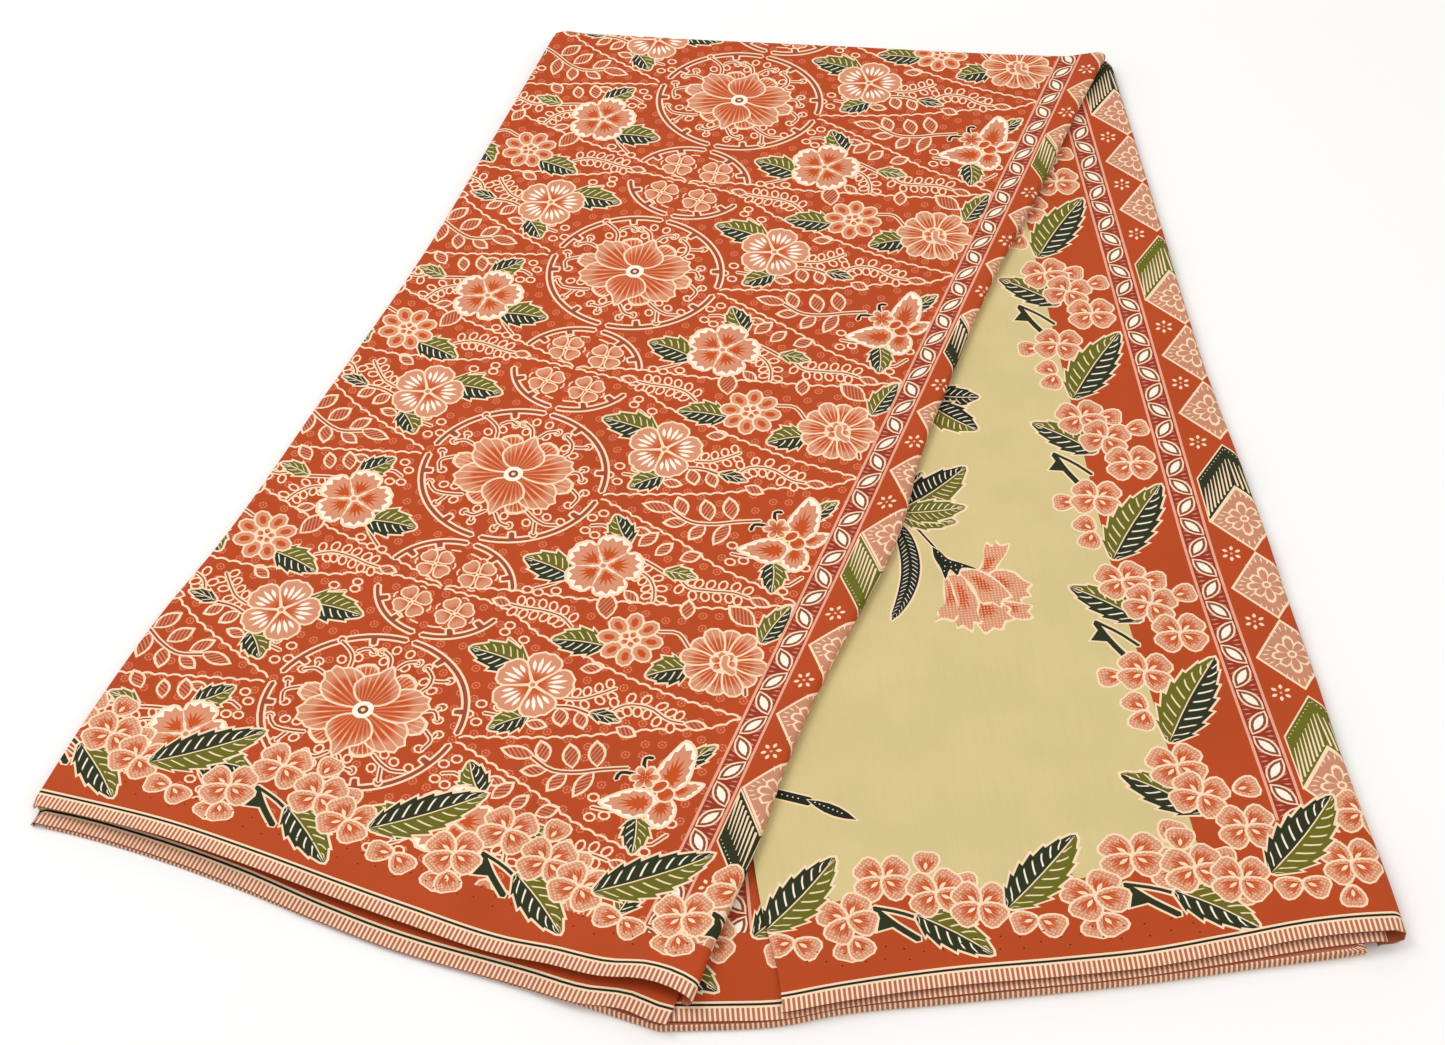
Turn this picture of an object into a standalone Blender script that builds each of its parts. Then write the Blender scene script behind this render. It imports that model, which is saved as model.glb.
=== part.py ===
"""A folded printed batik cloth, lying flat on a surface.

One length of cotton, folded lengthwise and fanned out about its far right
corner. Metres, +Z up, near side towards -Y, resting at z = 0 with the centre
of its box over the origin.
"""

import math

import bmesh
import bpy
import numpy as np
from mathutils import Vector
from mathutils.geometry import delaunay_2d_cdt

MM = 0.001
COLLECTION = "folded_batik_cloth"

# Cloth wall and the clearance between two layers
WALL = 1.2 * MM
SEAM_GAP = 0.3 * MM
PITCH = WALL + SEAM_GAP

# Moves the tables' zero to the middle of the cloth's box
CENTRE_SHIFT = (0.15 * MM, 1.5 * MM, 0.0)

# The left stack's own frame: origin on the nearest medallion, v along the
# fold, u to its right
LEFT_ORIGIN = (-0.1953, -0.2331)
LEFT_TURN = math.radians(25.36)

# Left stack, fold lines and selvedges: v (or u) against u (or v), in mm
TOP_LEFT_FOLD = (  # v, u
    (-160, -165),
    (-134, -166),
    (-100, -168),
    (-30, -170),
    (30, -169),
    (90, -164),
    (240, -163),
    (430, -164),
    (560, -172),
    (705, -181),
)
TOP_RIGHT_FOLD = (  # v, u
    (-160, 277),
    (-134, 277),
    (-100, 275),
    (-60, 275),
    (-20, 274),
    (45, 269.5),
    (93, 268.5),
    (170, 272),
    (225, 275),
    (255, 273.5),
    (310, 266),
    (390, 262),
    (480, 259.5),
    (545, 261),
    (600, 263.5),
    (700, 264.5),
    (795, 267),
)
TOP_FAR_FOLD = (  # u, v
    (-185, 700),
    (-69, 721),
    (55, 747),
    (182, 773),
    (280, 796),
)
TOP_SELVEDGE = (  # u, v, z of the wall's middle
    (-170, -134.5, 7.9),
    (-122, -132, 10.4),
    (-79, -130.5, 11.9),
    (-7, -132, 11.4),
    (50, -134.5, 9.8),
    (92, -136, 8.9),
    (160, -137, 8.9),
    (185, -135, 10.9),
    (222, -133.5, 13.9),
    (244, -129.5, 17.4),
    (262, -129.5, 17.9),
    (280, -133.5, 17.6),
)
SECOND_SELVEDGE = (  # u, v, z of the wall's middle
    (-170, -144, 2.9),
    (-130, -140, 2.6),
    (-91, -139, 2.4),
    (-16, -142, 2.4),
    (40, -148, 2.4),
    (86, -151, 2.4),
    (179, -149.5, 3.4),
    (211, -150, 5.2),
    (241, -146.5, 8.2),
    (257, -148, 8.0),
    (272, -147, 7.6),
)

# Right stack, whose fold runs along Y: mm
HEAD_LEFT_EDGE = ((-500, 48), (-450, 47.5), (-434, 45), (-410, 42), (-378, 40), (500, 40))  # Y, X
HEAD_RIGHT_FOLD = (  # Y, X
    (-500, 405),
    (-455, 404.5),
    (-430, 404),
    (-390, 402),
    (-340, 400),
    (-270, 399),
    (-215, 397),
    (-150, 396),
    (-95, 394),
    (-10, 390),
    (150, 389.5),
    (330, 389.5),
    (500, 389.5),
)
HEAD_SELVEDGE = (  # X, Y, z of the wall's middle
    (30, -480.5, 8.9),
    (47, -480.4, 8.9),
    (75, -477.6, 9.0),
    (144, -474, 9.4),
    (210, -474.5, 9.4),
    (258, -474, 9.6),
    (305, -470, 10.4),
    (352, -466, 11.8),
    (385, -466, 12.3),
    (410, -467.5, 11.9),
)
UNDER_SELVEDGE = (  # X, Y, z of the wall's middle
    (-60, -471, 6.0),
    (-11, -477.8, 5.6),
    (18, -480.6, 5.4),
    (47, -482.5, 5.2),
    (82, -479, 5.4),
    (144, -478, 6.0),
    (260, -477, 6.2),
    (308, -474, 6.8),
    (352, -471, 7.8),
    (410, -470, 8.2),
)
HIDDEN_NEAR_LEFT = ((-160, -145.5), (-148, -148), (-62, -147.5), (97, -149.5), (212, -148.5), (262, -149))  # u, v
HIDDEN_NEAR_RIGHT = ((0, -482), (46, -484), (79, -480.5), (143, -480), (268, -478.5), (308, -476.5), (372, -474))  # X, Y
FAR_LINE = ((-58.3, 477.9), (51.0, 448.0), (174.0, 418.4), (300.0, 387.6), (386.6, 369.3))  # X, Y

# Heights of the layers' middles away from their folds
SECOND_LOW = 4.7 * MM
SECOND_HIGH = 10.9 * MM
CLIMB_X = (-200 * MM, 30 * MM)
HEAD_Z = 9.4 * MM
UNDER_Z = 7.9 * MM
UNDER_LEFT_X = -30 * MM
CORNER_LIFT = 2.5 * MM

# Folds
TOP_LEFT_LIFT = 2.6 * MM
TOP_RIGHT_LIFT = 5.1 * MM
LIFT_REACH = 30 * MM
WAVE_REACH = 62 * MM
DROP_OUT = 5.0 * MM
FAR_INSET = 4.0 * MM
ROLL_RETURN = 3.0 * MM
HEAD_RETURN = 7.0 * MM
UNDER_INSET = 12 * MM
HIDDEN_INSET = 25 * MM
SECOND_INSET = 10.5 * MM

FINISHES = {  # node: sRGB colour, roughness
    "body_panel_top": ((0.79, 0.33, 0.18), 0.85),
    "body_panel_second": ((0.74, 0.30, 0.16), 0.85),
    "head_panel_top": ((0.85, 0.78, 0.56), 0.85),
    "head_panel_second": ((0.72, 0.28, 0.15), 0.85),
    "hidden_layers": ((0.80, 0.52, 0.40), 0.90),
}


def smooth(low, high, x):
    """Return the smooth step of x from 0 at low to 1 at high."""
    t = np.clip((np.asarray(x, float) - low) / (high - low), 0.0, 1.0)
    return t * t * (3.0 - 2.0 * t)


def table(rows, x, column=1):
    """Read a table of mm at x (m) along a smooth curve through its rows."""
    at = np.array([row[0] for row in rows], float) * MM
    value = np.array([row[column] for row in rows], float) * MM
    slope = np.gradient(value, at)
    step = np.diff(at)
    x = np.clip(np.asarray(x, float), at[0], at[-1])
    k = np.clip(np.searchsorted(at, x) - 1, 0, len(at) - 2)
    t = (x - at[k]) / step[k]
    return (
        value[k] * (1 + 2 * t) * (1 - t) ** 2
        + slope[k] * step[k] * t * (1 - t) ** 2
        + value[k + 1] * t * t * (3 - 2 * t)
        + slope[k + 1] * step[k] * t * t * (t - 1)
    )


def to_plan(u, v):
    """Turn the left stack's u and v into X and Y."""
    c, s = math.cos(LEFT_TURN), math.sin(LEFT_TURN)
    return LEFT_ORIGIN[0] + u * c + v * s, LEFT_ORIGIN[1] - u * s + v * c


def to_left(x, y):
    """Turn X and Y into the left stack's u and v."""
    c, s = math.cos(LEFT_TURN), math.sin(LEFT_TURN)
    dx, dy = x - LEFT_ORIGIN[0], y - LEFT_ORIGIN[1]
    return dx * c - dy * s, dx * s + dy * c


def near_weight(distance, reach=WAVE_REACH):
    """Return 1 on a selvedge, fading to 0 at reach behind it."""
    return 1.0 - smooth(0.0, reach, distance)


def second_height(u, v):
    """Middle of the left stack's second layer."""
    x, _ = to_plan(u, v)
    base = SECOND_LOW + (SECOND_HIGH - SECOND_LOW) * smooth(*CLIMB_X, x)
    w = near_weight(v - table(SECOND_SELVEDGE, u), 55 * MM)
    return base + (table(SECOND_SELVEDGE, u, 2) - base) * w


def top_height(u, v, left, right):
    """Middle of the left stack's top layer, between its two fold lines."""
    base = second_height(u, np.maximum(v, table(TOP_SELVEDGE, u) + WAVE_REACH)) + PITCH
    base = base + TOP_LEFT_LIFT * (1 - smooth(0, LIFT_REACH, u - left))
    base = base + TOP_RIGHT_LIFT * (1 - smooth(0, LIFT_REACH, right - u))
    w = near_weight(v - table(TOP_SELVEDGE, u))
    return base + (table(TOP_SELVEDGE, u, 2) - base) * w


def corner_bump(x, y):
    """Return the share of the lift at the near right corner."""
    return np.exp(-(((x - 0.395) / 0.07) ** 2)) * np.exp(-(((y + 0.47) / 0.11) ** 2))


def head_height(x, y):
    """Middle of the head panel."""
    base = HEAD_Z + CORNER_LIFT * corner_bump(x, y)
    w = near_weight(y - table(HEAD_SELVEDGE, x), 45 * MM)
    return base + (table(HEAD_SELVEDGE, x, 2) - base) * w


def under_height(x, y):
    """Middle of the layer under the head panel."""
    base = UNDER_Z + 0.5 * CORNER_LIFT * corner_bump(x, y)
    w = near_weight(y - table(UNDER_SELVEDGE, x), 45 * MM)
    return base + (table(UNDER_SELVEDGE, x, 2) - base) * w


def hidden_height(x, y):
    """Top of the hidden layers: under every layer that lies on them."""
    u, v = to_left(x, y)
    room = SEAM_GAP + WALL / 2
    left = second_height(u, v) - room - 0.3 * MM * near_weight(v + 0.148)
    under = under_height(x, y) - room
    under = under - 0.5 * MM * near_weight(y - table(UNDER_SELVEDGE, x), 80 * MM)
    beside = 1 - smooth(UNDER_LEFT_X - 50 * MM, UNDER_LEFT_X - 18 * MM, x)
    under = under + beside * 0.03
    right_of_fold = smooth(-2 * MM, 6 * MM, u - table(TOP_RIGHT_FOLD, v))
    left = left + right_of_fold * 0.03
    return np.minimum(left, under)


def graded(count, first, total):
    """Return count + 1 steps from 0 to 1 whose first step is about first."""
    low, high = 1.0, 3.0
    for _ in range(60):
        mid = (low + high) / 2
        size = first * (mid**count - 1) / (mid - 1) if mid > 1 else first * count
        low, high = (mid, high) if size < total else (low, mid)
    steps = np.concatenate([[0.0], np.cumsum(first * low ** np.arange(count))])
    return steps / steps[-1]


def roll(radius, angles, back=0.0):
    """Return (out, drop) of a fold's section from its top, and its straight return."""
    points = [(radius * math.sin(a), radius * (1 - math.cos(a))) for a in angles]
    if back:
        out, drop = points[-1]
        points.append((out + back * math.cos(angles[-1]), drop + back * math.sin(angles[-1])))
    return points


def closed_wall(name, middle, thickness=WALL):
    """Make a closed wall of a grid of points on its middle surface."""
    across = np.gradient(middle, axis=0)
    along = np.gradient(middle, axis=1)
    normal = np.cross(across, along)
    normal /= np.linalg.norm(normal, axis=2, keepdims=True)
    top = middle + normal * thickness / 2
    bottom = middle - normal * thickness / 2
    rows, columns = middle.shape[:2]
    points = np.concatenate([top.reshape(-1, 3), bottom.reshape(-1, 3)])
    grid = np.arange(rows * columns).reshape(rows, columns)
    under = grid + rows * columns
    faces = []
    for i in range(rows - 1):
        for j in range(columns - 1):
            a, b, c, d = grid[i, j], grid[i + 1, j], grid[i + 1, j + 1], grid[i, j + 1]
            faces += [(a, b, c, d), tuple(under[k] for k in ((i, j), (i, j + 1), (i + 1, j + 1), (i + 1, j)))]
    rim = np.concatenate([grid[:, 0], grid[-1, 1:], grid[-2::-1, -1], grid[0, -2:0:-1]])
    low = rim + rows * columns
    for k in range(len(rim)):
        n = (k + 1) % len(rim)
        faces.append((rim[k], low[k], low[n], rim[n]))
    return make_object(name, points, faces)


def make_object(name, points, faces):
    """Add a mesh object with its material, faces outward."""
    mesh = bpy.data.meshes.new(name)
    mesh.from_pydata([Vector(p) + Vector(CENTRE_SHIFT) for p in points], [], [tuple(int(i) for i in f) for f in faces])
    bm = bmesh.new()
    bm.from_mesh(mesh)
    bmesh.ops.triangulate(bm, faces=bm.faces[:])
    bmesh.ops.recalc_face_normals(bm, faces=bm.faces[:])
    bm.to_mesh(mesh)
    bm.free()
    obj = bpy.data.objects.new(name, mesh)
    bpy.data.collections[COLLECTION].objects.link(obj)
    colour, roughness = FINISHES[name]
    material = bpy.data.materials.new(f"{name}_cotton")
    material.use_nodes = True
    shader = material.node_tree.nodes["Principled BSDF"]
    linear = [((c + 0.055) / 1.055) ** 2.4 for c in colour]
    shader.inputs["Base Color"].default_value = (*linear, 1.0)
    shader.inputs["Roughness"].default_value = roughness
    shader.inputs["Metallic"].default_value = 0.0
    material.diffuse_color = (*linear, 1.0)
    mesh.materials.append(material)
    return obj


def turned(direction):
    """Return the plan vector of a (u, v) direction of the left stack."""
    c, s = math.cos(LEFT_TURN), math.sin(LEFT_TURN)
    return np.array([direction[0] * c + direction[1] * s, -direction[0] * s + direction[1] * c])


def top_panel():
    """Build the left stack's top layer, with its side rolls and far drop."""
    inner = np.concatenate([[0, 0.02, 0.045, 0.075], np.linspace(0.12, 0.88, 18), [0.925, 0.955, 0.98, 1]])
    steps = graded(26, 2.4 * MM, 0.9)
    left_angles = [math.radians(a) for a in (155, 115, 75, 35)]
    right_angles = [math.radians(a) for a in (30, 60, 90, 120, 150, 180)]
    drops = [math.radians(a) for a in (18, 36, 54, 72, 90)]
    far_normal = np.array([-(FAR_LINE[-1][1] - FAR_LINE[0][1]), FAR_LINE[-1][0] - FAR_LINE[0][0]])
    far_normal /= np.linalg.norm(far_normal)
    sides = (-turned((1, 0)), turned((1, 0)))

    def spine(g):
        """Give the inner columns' points for one step from near to far."""
        u_guess = -0.165 + inner * 0.44
        near = table(TOP_SELVEDGE, u_guess)
        far = table(TOP_FAR_FOLD, u_guess) - FAR_INSET
        v = near + (far - near) * g
        left = table(TOP_LEFT_FOLD, v) + WALL / 2
        right = table(TOP_RIGHT_FOLD, v) - WALL / 2
        r_left = TOP_LEFT_LIFT / 2
        r_right = (TOP_RIGHT_LIFT + PITCH) / 2
        u = left + r_left + (right - r_right - left - r_left) * inner
        v = near + (far - near) * g
        z = top_height(u, v, left + r_left, right - r_right)
        x, y = to_plan(u, v)
        return np.stack([x, y, z], axis=1), u, v

    columns = []
    for g in steps:
        points, u, v = spine(g)
        ends = []
        for side, k in ((0, 0), (1, -1)):
            if side == 0:
                low = second_height(u[k], v[k]) + PITCH
            else:
                low = SECOND_HIGH if v[k] > -0.06 else points[k][2] - 2 * 3.4 * MM
                low = max(low, SECOND_HIGH)
            radius = max((points[k][2] - low) / 2, 1.0 * MM)
            opened = float(smooth(0.86, 1.0, g))
            back = ROLL_RETURN + (0.8 * MM - ROLL_RETURN) * opened if side else 0.0
            turn = 1 - (0.47 if side else 0.38) * opened
            section = roll(radius, [a * turn for a in (right_angles if side else left_angles)], back)
            ends.append([points[k] + np.append(sides[side] * out, -drop) for out, drop in section])
        columns.append(np.array(ends[0] + list(points) + ends[1]))
    last = columns[-1]
    points, u, v = spine(1.0)
    n_left = len(left_angles)
    arcs = {0: [1 - i / n_left for i in range(n_left)], 1: [(i + 1) / (len(right_angles) + 1) for i in range(len(right_angles) + 1)]}
    for beta, angle in zip([(i + 1) / len(drops) for i in range(len(drops))], drops):
        row = []
        for i in range(len(last)):
            k = i - n_left
            if 0 <= k < len(inner):
                base = points[k]
                fall = base[2] - 1.4 * MM
                out, drop = DROP_OUT * math.sin(angle), fall * (1 - math.cos(angle))
                row.append(base + np.append(far_normal * out, -drop))
                continue
            side = 0 if k < 0 else 1
            base = points[0 if side == 0 else -1]
            alpha = arcs[0][i] if side == 0 else arcs[1][k - len(inner)]
            a, b = alpha * math.sqrt(1 - beta**2 / 2), beta * math.sqrt(1 - alpha**2 / 2)
            rho, phi = math.hypot(a, b), math.atan2(b, a)
            share = math.sin(phi) ** 2
            along = np.array([last[j] for j in ((range(n_left, -1, -1)) if side == 0 else range(n_left + len(inner) - 1, len(last)))])
            spot = rho * (len(along) - 1)
            f = min(int(spot), len(along) - 2)
            at = along[f] + (along[f + 1] - along[f]) * (spot - f)
            side_out = float(np.dot(at[:2] - base[:2], sides[side]))
            side_drop = base[2] - at[2]
            fall = base[2] - 1.4 * MM
            far_out = DROP_OUT * math.sin(rho * math.pi / 2)
            far_drop = fall * (1 - math.cos(rho * math.pi / 2))
            out = side_out + (far_out - side_out) * share
            drop = side_drop + (far_drop - side_drop) * share
            way = sides[side] * math.cos(phi) + far_normal * math.sin(phi)
            way /= np.linalg.norm(way)
            row.append(base + np.append(way * out, -drop))
        columns.append(np.array(row))
    middle = np.array(columns).transpose(1, 0, 2)
    return closed_wall("body_panel_top", middle)


def second_panel():
    """Build the left stack's second layer, rolled to the surface at its left."""
    inner = np.concatenate([[0, 0.03, 0.07], np.linspace(0.12, 0.88, 15), [0.93, 0.965, 1]])
    steps = graded(20, 2.2 * MM, 0.9)
    angles = [math.radians(a) for a in (180, 150, 120, 90, 60, 30)]
    side = -turned((1, 0))
    columns = []
    for g in steps:
        u_guess = -0.163 + inner * 0.43
        near = table(SECOND_SELVEDGE, u_guess)
        far = table(TOP_FAR_FOLD, u_guess) - FAR_INSET - 2 * MM
        v = near + (far - near) * g
        z_left = second_height(u_guess[0], v[0])
        radius = max((z_left - WALL / 2) / 2, 0.9 * MM)
        left = table(TOP_LEFT_FOLD, v[0]) + WALL / 2 + 1.5 * MM + radius
        right = table(TOP_RIGHT_FOLD, v) - SECOND_INSET
        u = left + (right - left) * inner
        z = second_height(u, v)
        z[0] = z_left
        x, y = to_plan(u, v)
        points = np.stack([x, y, z], axis=1)
        section = roll(radius, angles)
        ends = [points[0] + np.append(side * (section[0][0] - 2.0 * MM), -section[0][1])]
        ends += [points[0] + np.append(side * out, -drop) for out, drop in section]
        columns.append(np.array(ends + list(points)))
    middle = np.array(columns).transpose(1, 0, 2)
    return closed_wall("body_panel_second", middle)


def far_y(x, inset):
    """Return the far fold's Y at X, moved in."""
    return table(FAR_LINE, x) - inset


def head_panel():
    """Build the head panel, from its cut end to its rolled right fold."""
    inner = np.concatenate([np.linspace(0, 0.9, 19), [0.94, 0.97, 1]])
    steps = graded(24, 2 * MM, 0.85)
    angles = [math.radians(a) for a in (22, 45, 67, 90, 112, 135, 158, 180)]
    columns = []
    for g in steps:
        x_guess = 0.045 + inner * 0.352
        near = table(HEAD_SELVEDGE, x_guess)
        y = near + (far_y(x_guess, 4 * MM) - near) * g
        right = table(HEAD_RIGHT_FOLD, y) - WALL / 2
        radius = (head_height(x_guess[-1], y[-1]) - WALL / 2) / 2
        left = table(HEAD_LEFT_EDGE, y)
        x = left + (right - radius - left) * inner
        z = head_height(x, y)
        z[-1] = 2 * radius + WALL / 2
        points = [np.array(p) for p in zip(x, y, z)]
        for out, drop in roll(radius, angles, HEAD_RETURN):
            points.append(points[len(inner) - 1] + np.array([out, 0, -drop]))
        columns.append(np.array(points))
    middle = np.array(columns).transpose(1, 0, 2)
    return closed_wall("head_panel_top", middle)


def under_panel():
    """Build the layer under the head panel, with its own smaller loop."""
    inner = np.concatenate([np.linspace(0, 0.92, 14), [0.96, 1]])
    steps = graded(18, 2.2 * MM, 0.85)
    angles = [math.radians(a) for a in (30, 60, 90, 120, 150, 180)]
    columns = []
    for g in steps:
        x_guess = UNDER_LEFT_X + inner * 0.41
        near = table(UNDER_SELVEDGE, x_guess)
        y = near + (far_y(x_guess, 9 * MM) - near) * g
        right = table(HEAD_RIGHT_FOLD, y) - UNDER_INSET
        height = under_height(x_guess[-1], y[-1])
        radius = (height - 3.3 * MM) / 2
        x = UNDER_LEFT_X + (right - radius - UNDER_LEFT_X) * inner
        z = under_height(x, y)
        points = [np.array(p) for p in zip(x, y, z)]
        for out, drop in roll(radius, angles, 2.5 * MM):
            points.append(points[len(inner) - 1] + np.array([out, 0, -drop]))
        columns.append(np.array(points))
    middle = np.array(columns).transpose(1, 0, 2)
    return closed_wall("head_panel_second", middle)


def hidden_outline():
    """Walk the hidden layers' outline, near left corner first."""
    points = []
    for u in np.linspace(-0.1525, 0.262, 34):
        points.append(to_plan(u, float(table(HIDDEN_NEAR_LEFT, u))))
    for x in np.linspace(0.012, 0.372, 26):
        points.append((x, float(table(HIDDEN_NEAR_RIGHT, x))))
    for y in np.linspace(-0.455, 0.34, 28):
        points.append((float(table(HEAD_RIGHT_FOLD, y)) - HIDDEN_INSET, y))
    for x in np.linspace(0.345, -0.035, 22):
        points.append((x, float(far_y(x, 12 * MM))))
    for v in np.linspace(0.67, -0.125, 26):
        points.append(to_plan(float(table(TOP_LEFT_FOLD, v)) + 12.5 * MM, v))
    return np.array(points)


def moved_in(ring, distance):
    """Move a closed outline inward, along its corner normals."""
    ahead = np.roll(ring, -1, axis=0) - ring
    behind = ring - np.roll(ring, 1, axis=0)
    way = ahead / np.linalg.norm(ahead, axis=1, keepdims=True) + behind / np.linalg.norm(behind, axis=1, keepdims=True)
    way /= np.linalg.norm(way, axis=1, keepdims=True)
    inward = np.stack([-way[:, 1], way[:, 0]], axis=1)
    return ring + inward * distance


def hidden_layers():
    """Build the hidden layers, rounded and layered round their edge."""
    outline = hidden_outline()
    rings, points = [], []

    def add_ring(inset, share):
        ring = moved_in(outline, inset)
        top = hidden_height(ring[:, 0], ring[:, 1])
        rings.append(np.arange(len(points), len(points) + len(ring)))
        points.extend(np.column_stack([ring, top * share]))

    # inset from the outline in mm, share of the height: two noses and a groove
    for inset, share in ((1.4, 0.0), (0.3, 0.14), (0.0, 0.30), (0.9, 0.47), (0.4, 0.62), (0.7, 0.84), (2.0, 1.0)):
        add_ring(inset * MM, share)
    count = len(outline)
    faces = []
    for low, high in zip(rings[:-1], rings[1:]):
        for k in range(count):
            n = (k + 1) % count
            faces.append((low[k], low[n], high[n], high[k]))
    faces.append(tuple(rings[0][::-1]))
    border = np.array(points)[rings[-1]][:, :2]
    inner = [p for d in (7.0, 13.0, 21.0, 32.0) for p in moved_in(outline, d * MM) if room_in(p, outline) > 0.93 * d * MM]
    grid = [
        np.array([x, y])
        for x in np.arange(-0.37, 0.38, 0.028)
        for y in np.arange(-0.46, 0.46, 0.028)
        if within((x, y), outline) and room_in((x, y), outline) > 44 * MM
    ]
    flat = [Vector(p) for p in border] + [Vector(p) for p in inner + grid]
    found = delaunay_2d_cdt(flat, [(k, (k + 1) % count) for k in range(count)], [], 1, 1e-7)
    index = {}
    for k, origins in enumerate(found[3]):
        if origins and origins[0] < count:
            index[k] = int(rings[-1][origins[0]])
        else:
            index[k] = len(points)
            x, y = found[0][k]
            points.append(np.array([x, y, float(hidden_height(x, y))]))
    faces += [tuple(index[i] for i in face) for face in found[2]]
    return make_object("hidden_layers", points, faces)


def within(point, ring):
    """Return whether a point lies inside a closed outline."""
    x, y = point
    a, b = ring, np.roll(ring, -1, axis=0)
    crosses = (a[:, 1] > y) != (b[:, 1] > y)
    at = a[:, 0] + (y - a[:, 1]) * (b[:, 0] - a[:, 0]) / np.where(crosses, b[:, 1] - a[:, 1], 1.0)
    return bool(np.count_nonzero(crosses & (at > x)) % 2)


def room_in(point, ring):
    """Return the distance from a point to the nearest side of an outline."""
    start, end = ring, np.roll(ring, -1, axis=0)
    side = end - start
    share = np.clip(((point - start) * side).sum(axis=1) / (side * side).sum(axis=1), 0, 1)
    return float(np.linalg.norm(start + side * share[:, None] - point, axis=1).min())


def main():
    """Clear the scene and build every layer."""
    for obj in list(bpy.data.objects):
        bpy.data.objects.remove(obj, do_unlink=True)
    collection = bpy.data.collections.new(COLLECTION)
    bpy.context.scene.collection.children.link(collection)
    bpy.context.scene.unit_settings.system = "METRIC"
    hidden_layers()
    under_panel()
    head_panel()
    second_panel()
    top_panel()


main()
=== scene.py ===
"""Dress a folded batik cloth: its thin printed layers, floor, light and camera.

Metres in the finished meshes. The print is laid out in millimetres on the
flat cloth: for the left stack u runs right and v away along its fold, for the
head panel x and y are the frame's own.
"""

import logging
import math
from collections.abc import Callable, Iterator, Sequence
from contextlib import AbstractContextManager, contextmanager
from dataclasses import dataclass, field
from enum import Enum, IntEnum
from functools import partialmethod

import bpy
import numpy as np
from mathutils import Matrix, Vector
from mathutils.geometry import delaunay_2d_cdt

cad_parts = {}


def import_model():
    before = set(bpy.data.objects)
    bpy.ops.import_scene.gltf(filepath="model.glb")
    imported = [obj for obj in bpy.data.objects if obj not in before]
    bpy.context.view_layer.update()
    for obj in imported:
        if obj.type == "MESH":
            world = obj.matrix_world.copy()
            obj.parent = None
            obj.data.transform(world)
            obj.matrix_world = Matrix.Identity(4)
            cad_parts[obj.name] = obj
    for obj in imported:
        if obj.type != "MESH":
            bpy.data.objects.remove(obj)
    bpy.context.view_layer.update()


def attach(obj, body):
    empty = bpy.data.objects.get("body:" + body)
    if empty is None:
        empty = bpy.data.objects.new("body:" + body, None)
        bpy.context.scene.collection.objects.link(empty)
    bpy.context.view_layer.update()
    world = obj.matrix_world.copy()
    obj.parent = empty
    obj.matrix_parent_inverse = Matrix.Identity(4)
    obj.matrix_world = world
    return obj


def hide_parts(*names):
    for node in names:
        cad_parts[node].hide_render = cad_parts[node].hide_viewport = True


LOG = logging.getLogger("batik_cloth")
MM = 0.001
Array = np.ndarray
Row = tuple[float, ...]
Pair = tuple[float, float]
Reach = tuple[float, float, int]  # start, end, number of points
Tree = bpy.types.NodeTree
Socket = bpy.types.NodeSocket
Material = bpy.types.Material
Piece = bpy.types.Object

# The frame's cloth: its wall and clearance, the shift of its tables' zero, in m
WALL = 1.2 * MM
SEAM_GAP = 0.3 * MM
PITCH = WALL + SEAM_GAP
CENTRE_SHIFT = (0.15 * MM, 1.5 * MM, 0.0)
SHELL = 0.8 * MM
LEFT_ORIGIN = (-0.1953, -0.2331)
LEFT_TURN = math.radians(25.36)

# Fold lines and selvedges of the frame's layers, in mm
TOP_LEFT_FOLD: tuple[Row, ...] = (  # v, u
    (-160, -165), (-134, -166), (-100, -168), (-30, -170), (30, -169), (90, -164), (240, -163),
    (430, -164), (560, -172), (705, -181),
)
TOP_RIGHT_FOLD: tuple[Row, ...] = (  # v, u
    (-160, 277), (-134, 277), (-100, 275), (-60, 275), (-20, 274), (45, 269.5), (93, 268.5), (170, 272),
    (225, 275), (255, 273.5), (310, 266), (390, 262), (480, 259.5), (545, 261), (600, 263.5),
    (700, 264.5), (795, 267),
)
TOP_FAR_FOLD: tuple[Row, ...] = ((-185, 700), (-69, 721), (55, 747), (182, 773), (280, 796))  # u, v
TOP_SELVEDGE: tuple[Row, ...] = (  # u, v, z of the wall's middle
    (-170, -134.5, 7.9), (-122, -132, 10.4), (-79, -130.5, 11.9), (-7, -132, 11.4), (50, -134.5, 9.8),
    (92, -136, 8.9), (160, -137, 8.9), (185, -135, 10.9), (222, -133.5, 13.9), (244, -129.5, 17.4),
    (262, -129.5, 17.9), (280, -133.5, 17.6),
)
SECOND_SELVEDGE: tuple[Row, ...] = (  # u, v, z of the wall's middle
    (-170, -144, 2.9), (-130, -140, 2.6), (-91, -139, 2.4), (-16, -142, 2.4), (40, -148, 2.4),
    (86, -151, 2.4), (179, -149.5, 3.4), (211, -150, 5.2), (241, -146.5, 8.2), (257, -148, 8.0),
    (272, -147, 7.6),
)
HEAD_LEFT_EDGE: tuple[Row, ...] = (  # Y, X
    (-500, 48), (-450, 47.5), (-434, 45), (-410, 42), (-378, 40), (500, 40),
)
HEAD_RIGHT_FOLD: tuple[Row, ...] = (  # Y, X
    (-500, 405), (-455, 404.5), (-430, 404), (-390, 402), (-340, 400), (-270, 399), (-215, 397),
    (-150, 396), (-95, 394), (-10, 390), (150, 389.5), (330, 389.5), (500, 389.5),
)
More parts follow.
